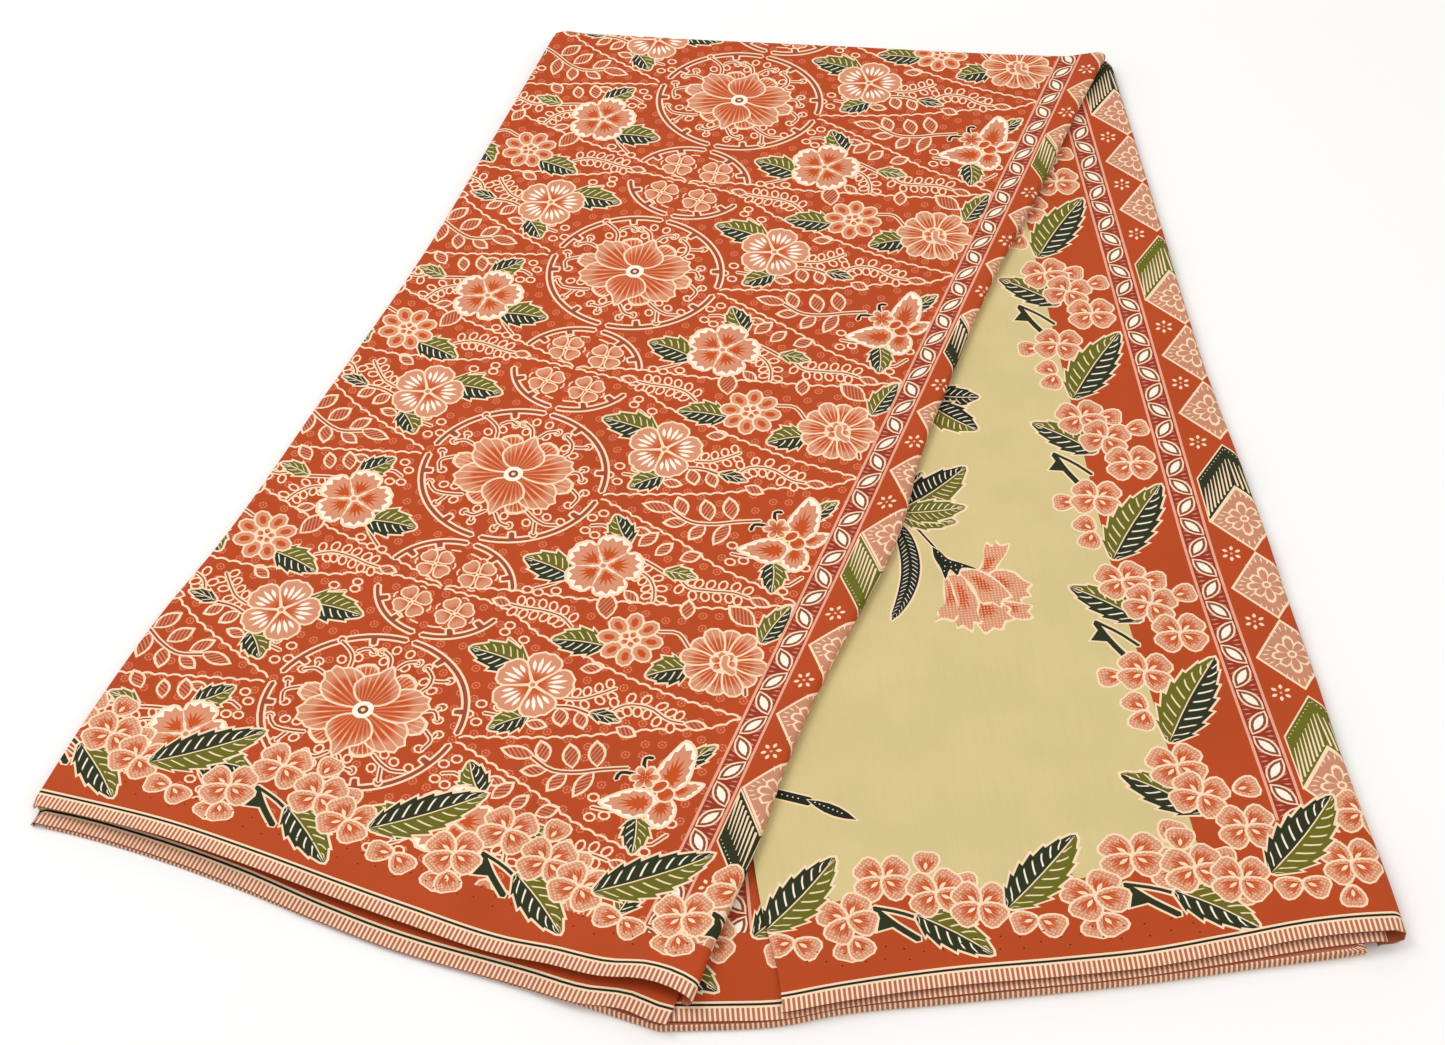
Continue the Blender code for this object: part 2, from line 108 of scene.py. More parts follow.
HEAD_SELVEDGE: tuple[Row, ...] = (  # X, Y, z of the wall's middle
    (30, -480.5, 8.9), (47, -480.4, 8.9), (75, -477.6, 9.0), (144, -474, 9.4), (210, -474.5, 9.4),
    (258, -474, 9.6), (305, -470, 10.4), (352, -466, 11.8), (385, -466, 12.3), (410, -467.5, 11.9),
)
UNDER_SELVEDGE: tuple[Row, ...] = (  # X, Y, z of the wall's middle
    (-60, -471, 6.0), (-11, -477.8, 5.6), (18, -480.6, 5.4), (47, -482.5, 5.2), (82, -479, 5.4),
    (144, -478, 6.0), (260, -477, 6.2), (308, -474, 6.8), (352, -471, 7.8), (410, -470, 8.2),
)
HIDDEN_NEAR_LEFT: tuple[Row, ...] = (  # u, v
    (-160, -143.5), (-130, -141.2), (-91, -140.2), (-16, -143.0), (40, -147.5), (97, -149.5),
    (212, -148.5), (262, -149),
)
HIDDEN_NEAR_RIGHT: tuple[Row, ...] = (  # X, Y
    (0, -482), (46, -484), (79, -480.5), (143, -480), (268, -478.5), (308, -476.5), (372, -474),
    (382, -473.4),
)
FAR_LINE: tuple[Row, ...] = (  # X, Y
    (-58.3, 477.9), (51.0, 448.0), (174.0, 418.4), (300.0, 387.6), (386.6, 369.3),
)

# Heights of the layers' middles and the reach of their folds, in m
SECOND_LOW = 4.7 * MM
SECOND_HIGH = 10.9 * MM
CLIMB_X = (-200 * MM, 30 * MM)
HEAD_Z = 9.4 * MM
UNDER_Z = 7.9 * MM
UNDER_LEFT_X = -30 * MM
CORNER_LIFT = 2.5 * MM
CORNER_AT = (0.395, -0.47)
CORNER_SPREAD = (0.07, 0.11)
TOP_LEFT_LIFT = 2.6 * MM
TOP_RIGHT_LIFT = 5.1 * MM
LIFT_REACH = 30 * MM
WAVE_REACH = 62 * MM
SECOND_REACH = 55 * MM
HEAD_REACH = 45 * MM
DROP_OUT = 5.0 * MM
DROP_Z = 1.4 * MM
FAR_INSET = 4.0 * MM
ROLL_RETURN = 3.0 * MM
ROLL_RETURN_END = 0.8 * MM
HEAD_RETURN = 7.0 * MM
UNDER_RETURN = 2.5 * MM
SECOND_RETURN = 2.0 * MM
UNDER_INSET = 12 * MM
UNDER_FAR_INSET = 9 * MM
HIDDEN_INSET = 25 * MM
HIDDEN_FAR_INSET = 12 * MM
HIDDEN_LEFT_INSET = 12.5 * MM
SECOND_INSET = 10.5 * MM
OUT_OF_REACH = 30 * MM
NEAR_SINK_LEFT = 0.3 * MM
NEAR_SINK_RIGHT = 0.5 * MM
SINK_REACH = 80 * MM
NEAR_LEFT_V = -0.148
BESIDE = (50 * MM, 18 * MM)
PAST_FOLD = (-2 * MM, 6 * MM)
CORNER_ROOM = 3 * MM
FAR_ROOM = 4 * MM

CREASES = (  # soft creases of the head panel: start, end, height, width
    ((203, -337), (232, -312), -0.50, 9.0), ((232, -312), (248, -303), -0.30, 7.0),
    ((118, -396), (150, -384), 0.40, 10.0), ((176, -250), (214, -262), 0.30, 12.0),
)

# The print's measures on the flat cloth, in mm
REPEAT = 217.5
SKEW = 0.036
MEDALLION_U = 2.0
STRIP_LEFT = 231.0
STRIP_RIGHT = 247.5
DIAMOND_PITCH = 58.6
DIAMOND_REPEAT = 220.3
LINE = 1.5
BAND = 12.6
TICKS = 8.2
TICK_PITCH = 2.9
SCALLOP = 8.8
SCALLOP_HEIGHT = 1.4
NEAR_STARTS = (37, 178)


class Ink(Enum):
    """The print's colours, as sRGB."""

    GROUND = (0.688, 0.266, 0.098)
    GROUND_DARK = (0.585, 0.190, 0.115)
    STEM = (0.530, 0.270, 0.180)
    SALMON = (0.812, 0.546, 0.418)
    PINK = (0.765, 0.520, 0.410)
    DEEP = (0.745, 0.300, 0.095)
    CREAM = (0.938, 0.824, 0.690)
    ROSE = (0.885, 0.630, 0.520)
    WHITE = (0.960, 0.920, 0.845)
    GREEN = (0.160, 0.172, 0.078)
    BLACK_GREEN = (0.112, 0.118, 0.062)
    OLIVE = (0.392, 0.385, 0.085)
    FIELD = (0.812, 0.740, 0.525)
    DOT_RED = (0.850, 0.480, 0.340)
    BROWN = (0.600, 0.270, 0.170)
    SPECK = (0.280, 0.100, 0.050)
    TICK_BROWN = (0.700, 0.405, 0.295)
    TICK_PALE = (0.935, 0.840, 0.720)

    def linear(self) -> tuple[float, float, float]:
        """Return the colour in linear light."""
        red, green, blue = (c / 12.92 if c <= 0.04045 else ((c + 0.055) / 1.055) ** 2.4 for c in self.value)
        return red, green, blue


class Shade(IntEnum):
    """How a shape's second ink shares it with the first, in its own x and y."""

    PLAIN = 0
    HEART = 1
    DOTS = 3
    VEINS = 4
    TICKS = 5
    HATCH = 6
    FIBRES = 9
    SWIRLS = 10


def smooth(low: float, high: float, x: Array) -> Array:
    """Return the smooth step of x from 0 at low to 1 at high."""
    t = np.clip((np.asarray(x, float) - low) / (high - low), 0.0, 1.0)
    return t * t * (3.0 - 2.0 * t)


def through(value: Array, slope: Array, step: Array, k: Array, t: Array) -> Array:
    """Return the smooth curve through values, a share t of the step after each k."""
    return (
        value[k] * (1 + 2 * t) * (1 - t) ** 2
        + slope[k] * step * t * (1 - t) ** 2
        + value[k + 1] * t * t * (3 - 2 * t)
        + slope[k + 1] * step * t * t * (t - 1)
    )


def table(rows: Sequence[Row], x: Array, column: int = 1) -> Array:
    """Return a column of a table of mm at x, along a smooth curve through its rows, both in m."""
    at = np.array([row[0] for row in rows], float) * MM
    value = np.array([row[column] for row in rows], float) * MM
    step = np.diff(at)
    x = np.clip(np.asarray(x, float), at[0], at[-1])
    k = np.clip(np.searchsorted(at, x) - 1, 0, len(at) - 2)
    return through(value, np.gradient(value, at), step[k], k, (x - at[k]) / step[k])


def to_plan(u: Array, v: Array) -> tuple[Array, Array]:
    """Turn the left stack's u and v into X and Y."""
    c, s = math.cos(LEFT_TURN), math.sin(LEFT_TURN)
    return LEFT_ORIGIN[0] + u * c + v * s, LEFT_ORIGIN[1] - u * s + v * c


def to_left(x: Array, y: Array) -> tuple[Array, Array]:
    """Turn X and Y into the left stack's u and v."""
    c, s = math.cos(LEFT_TURN), math.sin(LEFT_TURN)
    dx, dy = x - LEFT_ORIGIN[0], y - LEFT_ORIGIN[1]
    return dx * c - dy * s, dx * s + dy * c


def near_weight(distance: Array, reach: float = WAVE_REACH) -> Array:
    """Return 1 on a selvedge, fading to 0 at reach behind it."""
    return 1.0 - smooth(0.0, reach, distance)


def waved(base: Array, rows: Sequence[Row], across: Array, along: Array, reach: float) -> Array:
    """Return a height drawn to its selvedge's own at the near side, over a reach."""
    share = near_weight(along - table(rows, across), reach)
    return base + (table(rows, across, 2) - base) * share


def second_height(u: Array, v: Array) -> Array:
    """Return the middle of the left stack's second layer."""
    base = SECOND_LOW + (SECOND_HIGH - SECOND_LOW) * smooth(*CLIMB_X, to_plan(u, v)[0])
    return waved(base, SECOND_SELVEDGE, u, v, SECOND_REACH)


def top_height(u: Array, v: Array, left: Array, right: Array) -> Array:
    """Return the middle of the left stack's top layer, between its fold lines."""
    base = second_height(u, np.maximum(v, table(TOP_SELVEDGE, u) + WAVE_REACH)) + PITCH
    base = base + TOP_LEFT_LIFT * (1 - smooth(0, LIFT_REACH, u - left))
    base = base + TOP_RIGHT_LIFT * (1 - smooth(0, LIFT_REACH, right - u))
    return waved(base, TOP_SELVEDGE, u, v, WAVE_REACH)


def corner_bump(x: Array, y: Array) -> Array:
    """Return the share of the lift at the near right corner."""
    across, along = ((at - low) / wide for at, low, wide in zip((x, y), CORNER_AT, CORNER_SPREAD))
    return np.exp(-(across**2)) * np.exp(-(along**2))


def head_height(x: Array, y: Array) -> Array:
    """Return the middle of the head panel."""
    base = HEAD_Z + CORNER_LIFT * corner_bump(x, y)
    for start, end, height, width in CREASES:
        way = np.array(end, float) - start
        along = np.clip(((x / MM - start[0]) * way[0] + (y / MM - start[1]) * way[1]) / (way @ way), 0, 1)
        apart = np.hypot(x / MM - start[0] - along * way[0], y / MM - start[1] - along * way[1])
        base = base + height * MM * np.exp(-((apart / width) ** 2))
    return waved(base, HEAD_SELVEDGE, x, y, HEAD_REACH)


def under_height(x: Array, y: Array) -> Array:
    """Return the middle of the layer under the head panel."""
    return waved(UNDER_Z + 0.5 * CORNER_LIFT * corner_bump(x, y), UNDER_SELVEDGE, x, y, HEAD_REACH)


def hidden_height(x: Array, y: Array) -> Array:
    """Return the top of the hidden layers, under every layer that lies on them."""
    u, v = to_left(x, y)
    room = SEAM_GAP + WALL / 2
    left = second_height(u, v) - room - NEAR_SINK_LEFT * near_weight(v - NEAR_LEFT_V)
    under = under_height(x, y) - room
    under = under - NEAR_SINK_RIGHT * near_weight(y - table(UNDER_SELVEDGE, x), SINK_REACH)
    under = under + (1 - smooth(*(UNDER_LEFT_X - step for step in BESIDE), x)) * OUT_OF_REACH
    left = left + smooth(*PAST_FOLD, u - table(TOP_RIGHT_FOLD, v)) * OUT_OF_REACH
    return np.minimum(left, under)


@dataclass(frozen=True)
class Place:
    """Where a motif lies on the cloth: a turn, a mirror, a slant and a move, in mm."""

    x: float = 0.0
    y: float = 0.0
    turn: float = 0.0
    scale_x: float = 1.0
    scale_y: float = 1.0
    skew: float = 0.0

    def on(self, points: Array) -> Array:
        """Return points moved from the motif's own frame."""
        c, s = math.cos(self.turn), math.sin(self.turn)
        slant = np.array([[1.0, 0.0], [self.skew * self.scale_x, 1.0]])
        matrix = slant @ np.array([[c, -s], [s, c]]) @ np.diag([self.scale_x, self.scale_y])
        return np.asarray(points, float) @ matrix.T + np.array([self.x, self.y])


@dataclass
class Patch:
    """One printed shape: its outline, its inks and how they share it."""

    outline: Array
    ink: Ink
    second: Ink
    shade: Shade
    to_local: Array
    origin: Array
    warp: Callable[[Array], Array] | None = None


def arc(radius: Pair, start: float, end: float, count: int) -> Array:
    """Return points on an oval arc, angles in degrees."""
    a = np.radians(np.linspace(start, end, count))
    return np.column_stack([radius[0] * np.cos(a), radius[1] * np.sin(a)])


def oval(width: float, height: float, count: int = 8, x: float = 0.0, y: float = 0.0) -> Array:
    """Return a closed oval of these full sizes."""
    a = np.arange(count) * math.tau / count
    return np.column_stack([x + width / 2 * np.cos(a), y + height / 2 * np.sin(a)])


def petal(length: float, width: float, count: int = 12, notch: float = 0.0) -> Array:
    """Return a petal from the origin to its tip along x, the tip dented by a share of the length."""
    t = np.arange(count) / count * math.tau
    x = (1 - np.cos(t)) / 2
    y = np.sin(t) * width / 2 * (0.55 + 0.45 * x)
    dent = notch * np.exp(-((y / (0.22 * width)) ** 2)) * (x > 0.6)
    return np.column_stack([(x - dent) * length, y])


def lens(length: float, width: float, count: int = 8) -> Array:
    """Return a pointed leaf shape from the origin along x."""
    t = np.linspace(0, 1, count // 2 + 1)
    half = np.sin(np.pi * t) ** 0.85 * width / 2
    top = np.column_stack([t * length, half])
    low = np.column_stack([t[::-1] * length, -half[::-1]])
    return np.concatenate([top, low[1:-1]])


def spans(points: Array) -> Array:
    """Return the distances between following points."""
    return np.linalg.norm(np.diff(points, axis=0), axis=1)


def headings(points: Array) -> Array:
    """Return a line's unit direction at each of its points."""
    way = np.gradient(points, axis=0)
    return way / np.maximum(np.linalg.norm(way, axis=1, keepdims=True), 1e-9)


def degrees(x: float, y: float) -> float:
    """Return the direction of a step in degrees."""
    return math.degrees(math.atan2(y, x))


def turning(ring: Array) -> float:
    """Return twice a closed outline's area, below 0 where it runs clockwise."""
    ahead = np.roll(ring, -1, axis=0)
    return float(np.sum(ring[:, 0] * ahead[:, 1] - ahead[:, 0] * ring[:, 1]))


def mirrored(first: Sequence[Pair], side: Sequence[Pair], last: Sequence[Pair]) -> list[Pair]:
    """Return a closed outline from one side of it, the other side being its mirror."""
    return [*first, *side, *last, *((x, -y) for x, y in reversed(side))]


def rectangle(left: float, low: float, right: float, high: float) -> Array:
    """Return a rectangle's corners."""
    return np.array([(left, low), (right, low), (right, high), (left, high)])


def ribbon(points: Array, width: float | Array) -> Array:
    """Return the outline of a stroke of this width along points."""
    points = np.asarray(points, float)
    way = headings(points)
    side = np.column_stack([-way[:, 1], way[:, 0]])
    half = np.broadcast_to(np.asarray(width, float) / 2, (len(points),))[:, None]
    first = points[0] - way[0] * half[0] * 0.8
    last = points[-1] + way[-1] * half[-1] * 0.8
    return np.concatenate([points + side * half, [last], (points - side * half)[::-1], [first]])


def curve(points: Sequence[Pair], count: int) -> Array:
    """Return count points on a smooth curve through a few."""
    points = np.asarray(points, float)
    if len(points) == 2:
        return points[0] + (points[1] - points[0]) * np.linspace(0, 1, count)[:, None]
    step = spans(points)
    at = np.concatenate([[0], np.cumsum(step)])
    s = np.linspace(0, at[-1], count)
    k = np.clip(np.searchsorted(at, s) - 1, 0, len(at) - 2)
    t = ((s - at[k]) / step[k])[:, None]
    return through(points, np.gradient(points, at, axis=0), step[k][:, None], k, t)


def split(outline: Array, longest: float = 9.0) -> Array:
    """Return a closed outline with its long sides split, so that it can bend."""
    rows = []
    for start, end in zip(outline, np.roll(outline, -1, axis=0)):
        parts = max(math.ceil(math.hypot(*(end - start)) / longest), 1)
        rows.append(start + (end - start) * (np.arange(parts) / parts)[:, None])
    return np.concatenate(rows)


def grown(ring: Array, by: float) -> Array:
    """Return a closed outline moved outward by a distance."""
    ahead = np.roll(ring, -1, axis=0) - ring
    ahead /= np.maximum(np.linalg.norm(ahead, axis=1, keepdims=True), 1e-9)
    way = ahead + np.roll(ahead, 1, axis=0)
    way /= np.maximum(np.linalg.norm(way, axis=1, keepdims=True), 1e-9)
    mitre = np.maximum((way * ahead).sum(axis=1, keepdims=True), 0.6)
    return ring + np.column_stack([way[:, 1], -way[:, 0]]) * np.sign(turning(ring)) * by / mitre


@dataclass
class Print:
    """The shapes printed on one panel, in the order they were laid down."""

    patches: list[Patch] = field(default_factory=list)
    places: list[Place] = field(default_factory=list)
    bend: Callable[[Array], Array] | None = None

    def to_cloth(self, points: Array) -> Array:
        """Return points of the current motif's frame on the flat cloth."""
        for place in reversed(self.places):
            points = place.on(points)
        return self.bend(points) if self.bend else points

    def put(self, points: Array, ink: Ink, second: Ink | None = None, shade: Shade = Shade.PLAIN,
            turn: float = 0.0, unit: float = 1.0, warp: Callable[[Array], Array] | None = None) -> None:
        """Print one closed shape.

        Args:
            points: Its outline in the current motif's frame.
            ink: Its colour.
            second: The other colour of its shading.
            shade: How the two share it.
            turn: The direction of the shading's x, in radians.
            unit: How many mm make 1 in the shading's frame.
            warp: What turns a place in the frame into the shading's own.
        """
        c, s = math.cos(turn), math.sin(turn)
        probe = self.to_cloth(np.array([(0.0, 0.0), (c, s), (-s, c)]))
        axes = np.column_stack([probe[1] - probe[0], probe[2] - probe[0]]) * unit
        outline = self.to_cloth(split(np.asarray(points, float)))
        outline = outline[::-1] if turning(outline) < 0 else outline
        self.patches.append(Patch(outline, ink, second or ink, shade, np.linalg.inv(axes), probe[0], warp))

    @contextmanager
    def under(self, place: Place) -> Iterator[None]:
        """Enter a frame for the length of a with block."""
        self.places.append(place)
        yield
        self.places.pop()

    def at(self, x: float, y: float, turn: float = 0.0, mirror: bool = False) -> AbstractContextManager:
        """Enter a motif's frame, its turn in degrees."""
        return self.under(Place(x, y, math.radians(turn), 1.0, -1.0 if mirror else 1.0))

    def around(self, count: int, first: float = 0.0, out: float = 0.0) -> Iterator[int]:
        """Enter count frames in turn, spread evenly about the middle and moved out along their x."""
        for k in range(count):
            with self.at(0, 0, 360 * k / count + first), self.at(out, 0):
                yield k


@dataclass
class Motifs:
    """The print's motifs, each drawn from a few sizes in mm."""

    cloth: Print

    def stroke(self, points: Array, width: float = 1.4, ink: Ink = Ink.CREAM) -> None:
        """Print a line."""
        self.cloth.put(ribbon(points, width), ink)

    def stem(self, points: Array, width: float = 3.8) -> None:
        """Print a stem between two pale lines."""
        self.stroke(points, width)
        self.stroke(points, width - 2.3, Ink.BROWN)

    def disc(self, *rings: tuple[float, int, Ink]) -> None:
        """Print round spots about the middle: the size, number of points and ink of each."""
        for size, count, ink in rings:
            self.cloth.put(oval(size, size, count), ink)

    def shaded(self, points: Array, shade: Shade, unit: float) -> None:
        """Print a shape in a petal's own two inks."""
        self.cloth.put(points, Ink.SALMON, Ink.DEEP, shade, unit=unit)

    def loop(self, x: float, y: float, size: float = 8.4, turn: float = 0.0, share: float = 0.86) -> None:
        """Print one open berry loop."""
        with self.cloth.at(x, y, turn):
            self.cloth.put(oval(size, size * share, 8), Ink.CREAM)
            self.cloth.put(oval(size - 2.8, size * share - 2.7, 7), Ink.GROUND)

    def bud(self, x: float, y: float, turn: float, length: float = 14.0, width: float = 7.5) -> None:
        """Print a hatched bud from its base."""
        with self.cloth.at(x, y, turn):
            self.cloth.put(lens(length + 1, width + 1, 10), Ink.CREAM)
            with self.cloth.at(1.8, 0):
                heart = lens(length - 3.4, width - 2.2, 8)
                self.cloth.put(heart, Ink.GROUND, Ink.PINK, Shade.HATCH, turn=math.radians(50))

    def leaf(self, x: float, y: float, turn: float, length: float, width: float, mirror: bool = False,
             dark: Ink = Ink.GREEN, pale: Ink = Ink.OLIVE, teeth: int = 4, bite: float = 0.12,
             veins: float = 5.6) -> None:
        """Print a toothed leaf of two colours from its base, dark on its right.

        Args:
            x: Its base.
            y: Its base.
            turn: The direction of its tip, in degrees.
            length: Base to tip.
            width: Its widest width.
            mirror: Whether the dark half is on its left.
            dark: The dark half's ink.
            pale: The pale half's ink.
            teeth: How many teeth each side has.
            bite: How deep they are, as a share of the half width.
            veins: The veins' spacing.
        """

        def envelope(t: Array) -> Array:
            """Return the half width without its teeth."""
            return width / 2 * np.sin(np.pi * np.clip(t, 0, 1) ** 0.78) ** 0.72

        def rib(t: Array) -> Array:
            """Return the rib's place across."""
            return 0.06 * width * np.sin(np.pi * t)

        def side(sign: float) -> Array:
            """Return one toothed side, base to tip."""
            steps = np.arange(teeth)
            t = np.column_stack([(steps + 0.10) / teeth, np.minimum((steps + 1.16) / teeth, 0.97)]).ravel()
            scale = np.tile([1 - bite, 1 + bite], teeth)
            return np.column_stack([t * length, rib(t) + sign * envelope(t) * scale])

        def across(points: Array) -> Array:
            """Return veins along and the share of the half width across."""
            t = points[:, 0] / length
            share = (points[:, 1] - rib(t)) / np.maximum(envelope(t), 0.8)
            return np.column_stack([points[:, 0] / veins, share])

        t = np.linspace(0.1, 0.9, 5)
        spine = np.column_stack([t * length, rib(t)])
        with self.cloth.at(x, y, turn, mirror=mirror):
            ends = np.array([[(0.0, 0.0)], [(length, 0.0)]])
            whole = np.concatenate([ends[0], side(-1), ends[1], side(1)[::-1]])
            self.cloth.put(grown(whole, LINE), Ink.CREAM)
            for sign, ink, second in ((1, pale, Ink.CREAM), (-1, dark, Ink.WHITE)):
                shape = np.concatenate([ends[0], side(sign), ends[1], (spine + [0, sign * 0.4])[::-1]])
                self.cloth.put(shape, ink, second, Shade.VEINS, warp=across)

    def small_heart(self, radius: float, count: int = 6) -> None:
        """Print a little flower as a bigger one's centre."""
        self.disc((radius * 2 + 2, 10, Ink.CREAM))
        for _ in self.cloth.around(count, out=radius * 0.25):
            self.shaded(lens(radius * 0.75, radius * 0.62, 6), Shade.HEART, radius)

    def spray(self, points: Sequence[Pair], size: float, bud: float) -> None:
        """Print a curved stem with open loops on both sides and a bud at its end.

        Args:
            points: The stem's route.
            size: A loop's size.
            bud: The end bud's length; none at 0.
        """
        start = 0.1
        loops = int(spans(curve(points, 30)).sum() * (1 - start) / (size * 0.77))
        path = curve(points, 8 * loops + 1)
        way = headings(path)
        for k in range(loops):
            for side in (-1, 1):
                spot = start + (1.0 - start) * (k + (0.5 if side > 0 else 0.2)) / loops
                i = min(int(spot * (len(path) - 1)), len(path) - 1)
                normal = np.array([-way[i][1], way[i][0]]) * side
                outward = normal + way[i] * 0.35
                self.loop(*(path[i] + normal * (size / 2 + 0.5)), size, degrees(*outward), 0.73)
        self.stem(path[:: max(len(path) // 10, 1)], 3.4)
        if bud:
            self.bud(*(path[-1] - way[-1]), degrees(*way[-1]), bud, 8.0)

    def scallops(self, rows: Sequence[Pair]) -> None:
        """Print a pale scalloped line through points."""
        count = max(int(spans(curve(rows, 40)).sum() / SCALLOP), 1) * 3 + 1
        path = curve(rows, count)
        way = headings(path)
        wave = np.tile([-0.1, 0.85, 0.85], count // 3 + 1)[:count] * SCALLOP_HEIGHT
        self.stroke(path + np.column_stack([-way[:, 1], way[:, 0]]) * wave[:, None], 1.6)

    def frame(self, radius: Pair, start: float, end: float, notches: Pair, band: float = 4.4) -> None:
        """Print an arc of two lines, the inner one stepping in at its notches.

        Args:
            radius: The outer line's half width and half height.
            start: Where it starts, in degrees.
            end: Where it ends, in degrees.
            notches: Where the inner line steps in, in degrees.
            band: How far apart the two lines are.
        """
        bow = arc((radius[0] - band / 2, radius[1] - band / 2), start, end, 15)
        self.stroke(bow, band + 1.5)
        for turn in notches:
            x, y = arc((radius[0] - band, radius[1] - band), turn, turn, 1)[0]
            with self.cloth.at(x, y, degrees(x, y)):
                outer = [(0, 3.6), (-5.6, 3.0), (-6.4, 0), (-5.6, -3.0), (0, -3.6)]
                inner = [(1, 2.1), (-4.2, 1.7), (-5, 0), (-4.2, -1.7), (1, -2.1)]
                self.cloth.put(np.array(outer), Ink.CREAM)
                self.cloth.put(np.array(inner), Ink.BROWN)
        self.stroke(bow, band - 1.7, Ink.BROWN)

    def outlined(self, corners: Sequence[Pair], shade: Shade, unit: float, count: int,
                 line: float = LINE) -> None:
        """Print a smooth petal with a pale line round it."""
        ring = curve([*corners, corners[0]], count + 1)[:-1]
        self.cloth.put(grown(ring, line), Ink.CREAM)
        self.shaded(ring, shade, unit)

    def nested(self, outline: Sequence[Pair], heart: Pair, inks: Sequence[tuple[Ink, float, float]],
               count: int = 22, dotted: bool = False, stretch: float = 1.0) -> None:
        """Print a closed shape inside itself, each smaller one ragged.

        Args:
            outline: Its corners.
            heart: What it shrinks to.
            inks: Ink, share of the size and depth of the teeth, from the largest.
            count: How many points each has.
            dotted: Whether each carries pale dots.
            stretch: How much wider than long the smaller ones are.
        """
        shade = Shade.DOTS if dotted else Shade.PLAIN
        ring = curve([*outline, outline[0]], count + 1)[:-1]
        centre = np.array(heart, float)
        way = ring - centre
        rim = LINE * way / np.maximum(np.linalg.norm(way, axis=1, keepdims=True), 1e-6)
        for ink, share, depth in inks:
            teeth = np.where(np.arange(count) % 2, share + depth, share - depth)[:, None]
            wider = [1.0, stretch if share < 0.95 else 1.0]
            smaller = centre + way * np.minimum(teeth * wider, 1.0)
            self.cloth.put(smaller + (rim if share > 1 else 0.0), ink, Ink.CREAM, shade)


TENDRILS = (  # routes about the medallion's middle, then loops as x, y
    (((-26, 25), (-30, 37), (-35, 41), (-43, 45)), ((-29, 41), (-23, 46), (-18, 44)), ((-35, 31.5),
      (-25.5, 36.5), (-43.5, 46), (-18.5, 44))),
    (((-2, 36), (-6, 44), (-12, 47)), ((-12, 47), (-14, 46)), ((-5, 50.5), (-8.5, 39.5), (-13.5, 46))),
    (((3, 37), (6.5, 43.5), (12, 46.5)), ((12, 46.5), (14, 45.5)), ((5, 50.5), (7.5, 39.5), (14, 46))),
    (((25, 22), (30, 32), (28, 39), (21, 44)), ((29.5, 36), (35, 37), (40, 39)), ((25, 33.5),
      (33.5, 28.5), (40.5, 39.5), (21.5, 44.5))),
    (((36, 11.5), (44, 14.5), (49, 9)), ((44, 14.5), (46, 18)), ((46.5, 19), (49.5, 9))),
    (((46, -1), (53, -6.5), (51.5, -15)), ((53, -5), (54, -1)), ((55.5, -1), (49.5, -15))),
    (((24, -29), (32, -33.5), (41, -36), (49, -34)), ((33, -34), (35, -40), (37, -46)), ((31, -26.5),
      (39.5, -29.5), (28, -38.5), (50.5, -30.5), (37, -46.5))),
    (((3.5, -37), (11, -44.5), (17, -45)), ((11, -44.5), (9, -49)), ((10.5, -37.5), (8.5, -50),
      (17.5, -44.5))),
    (((-4, -37), (-11, -43.5), (-17, -43)), ((-11, -43.5), (-10, -48)), ((-10.5, -37), (-9.5, -49),
      (-18, -42.5))),
    (((-26, -28.5), (-36, -31), (-48, -31), (-54, -25)), ((-36, -31), (-40, -41)), ((-43, -24),
      (-34.5, -23), (-30, -35), (-40.5, -41.5), (-54, -25))),
    (((-47, 3), (-56, -4.5), (-52.5, -12)), ((-55, -2), (-58, 3.5)), ((-58.5, 4.5), (-50.5, -12))),
    (((-37, 16.5), (-48, 19), (-54, 15.5)), ((-47, 19), (-48, 24)), ((-48, 25), (-54.5, 15.5))),
)


MEDALLION_FRAMES = (  # start and end in degrees, then its notches
    (3.5, 88, (20, 65)), (93, 171, (112, 157)), (181, 267, (196, 245)), (273, 354, (292, 337)),
)
SMOOTH_PETALS = (  # direction, length, width
    (62, 38, 22), (118, 38, 22), (0, 46, 20), (178, 48, 20), (238, 37, 22), (300, 38, 22),
)
WAVY_PETALS = ((333, 42, 26), (27, 42, 26), (204, 42, 27), (150, 43, 27))  # as above


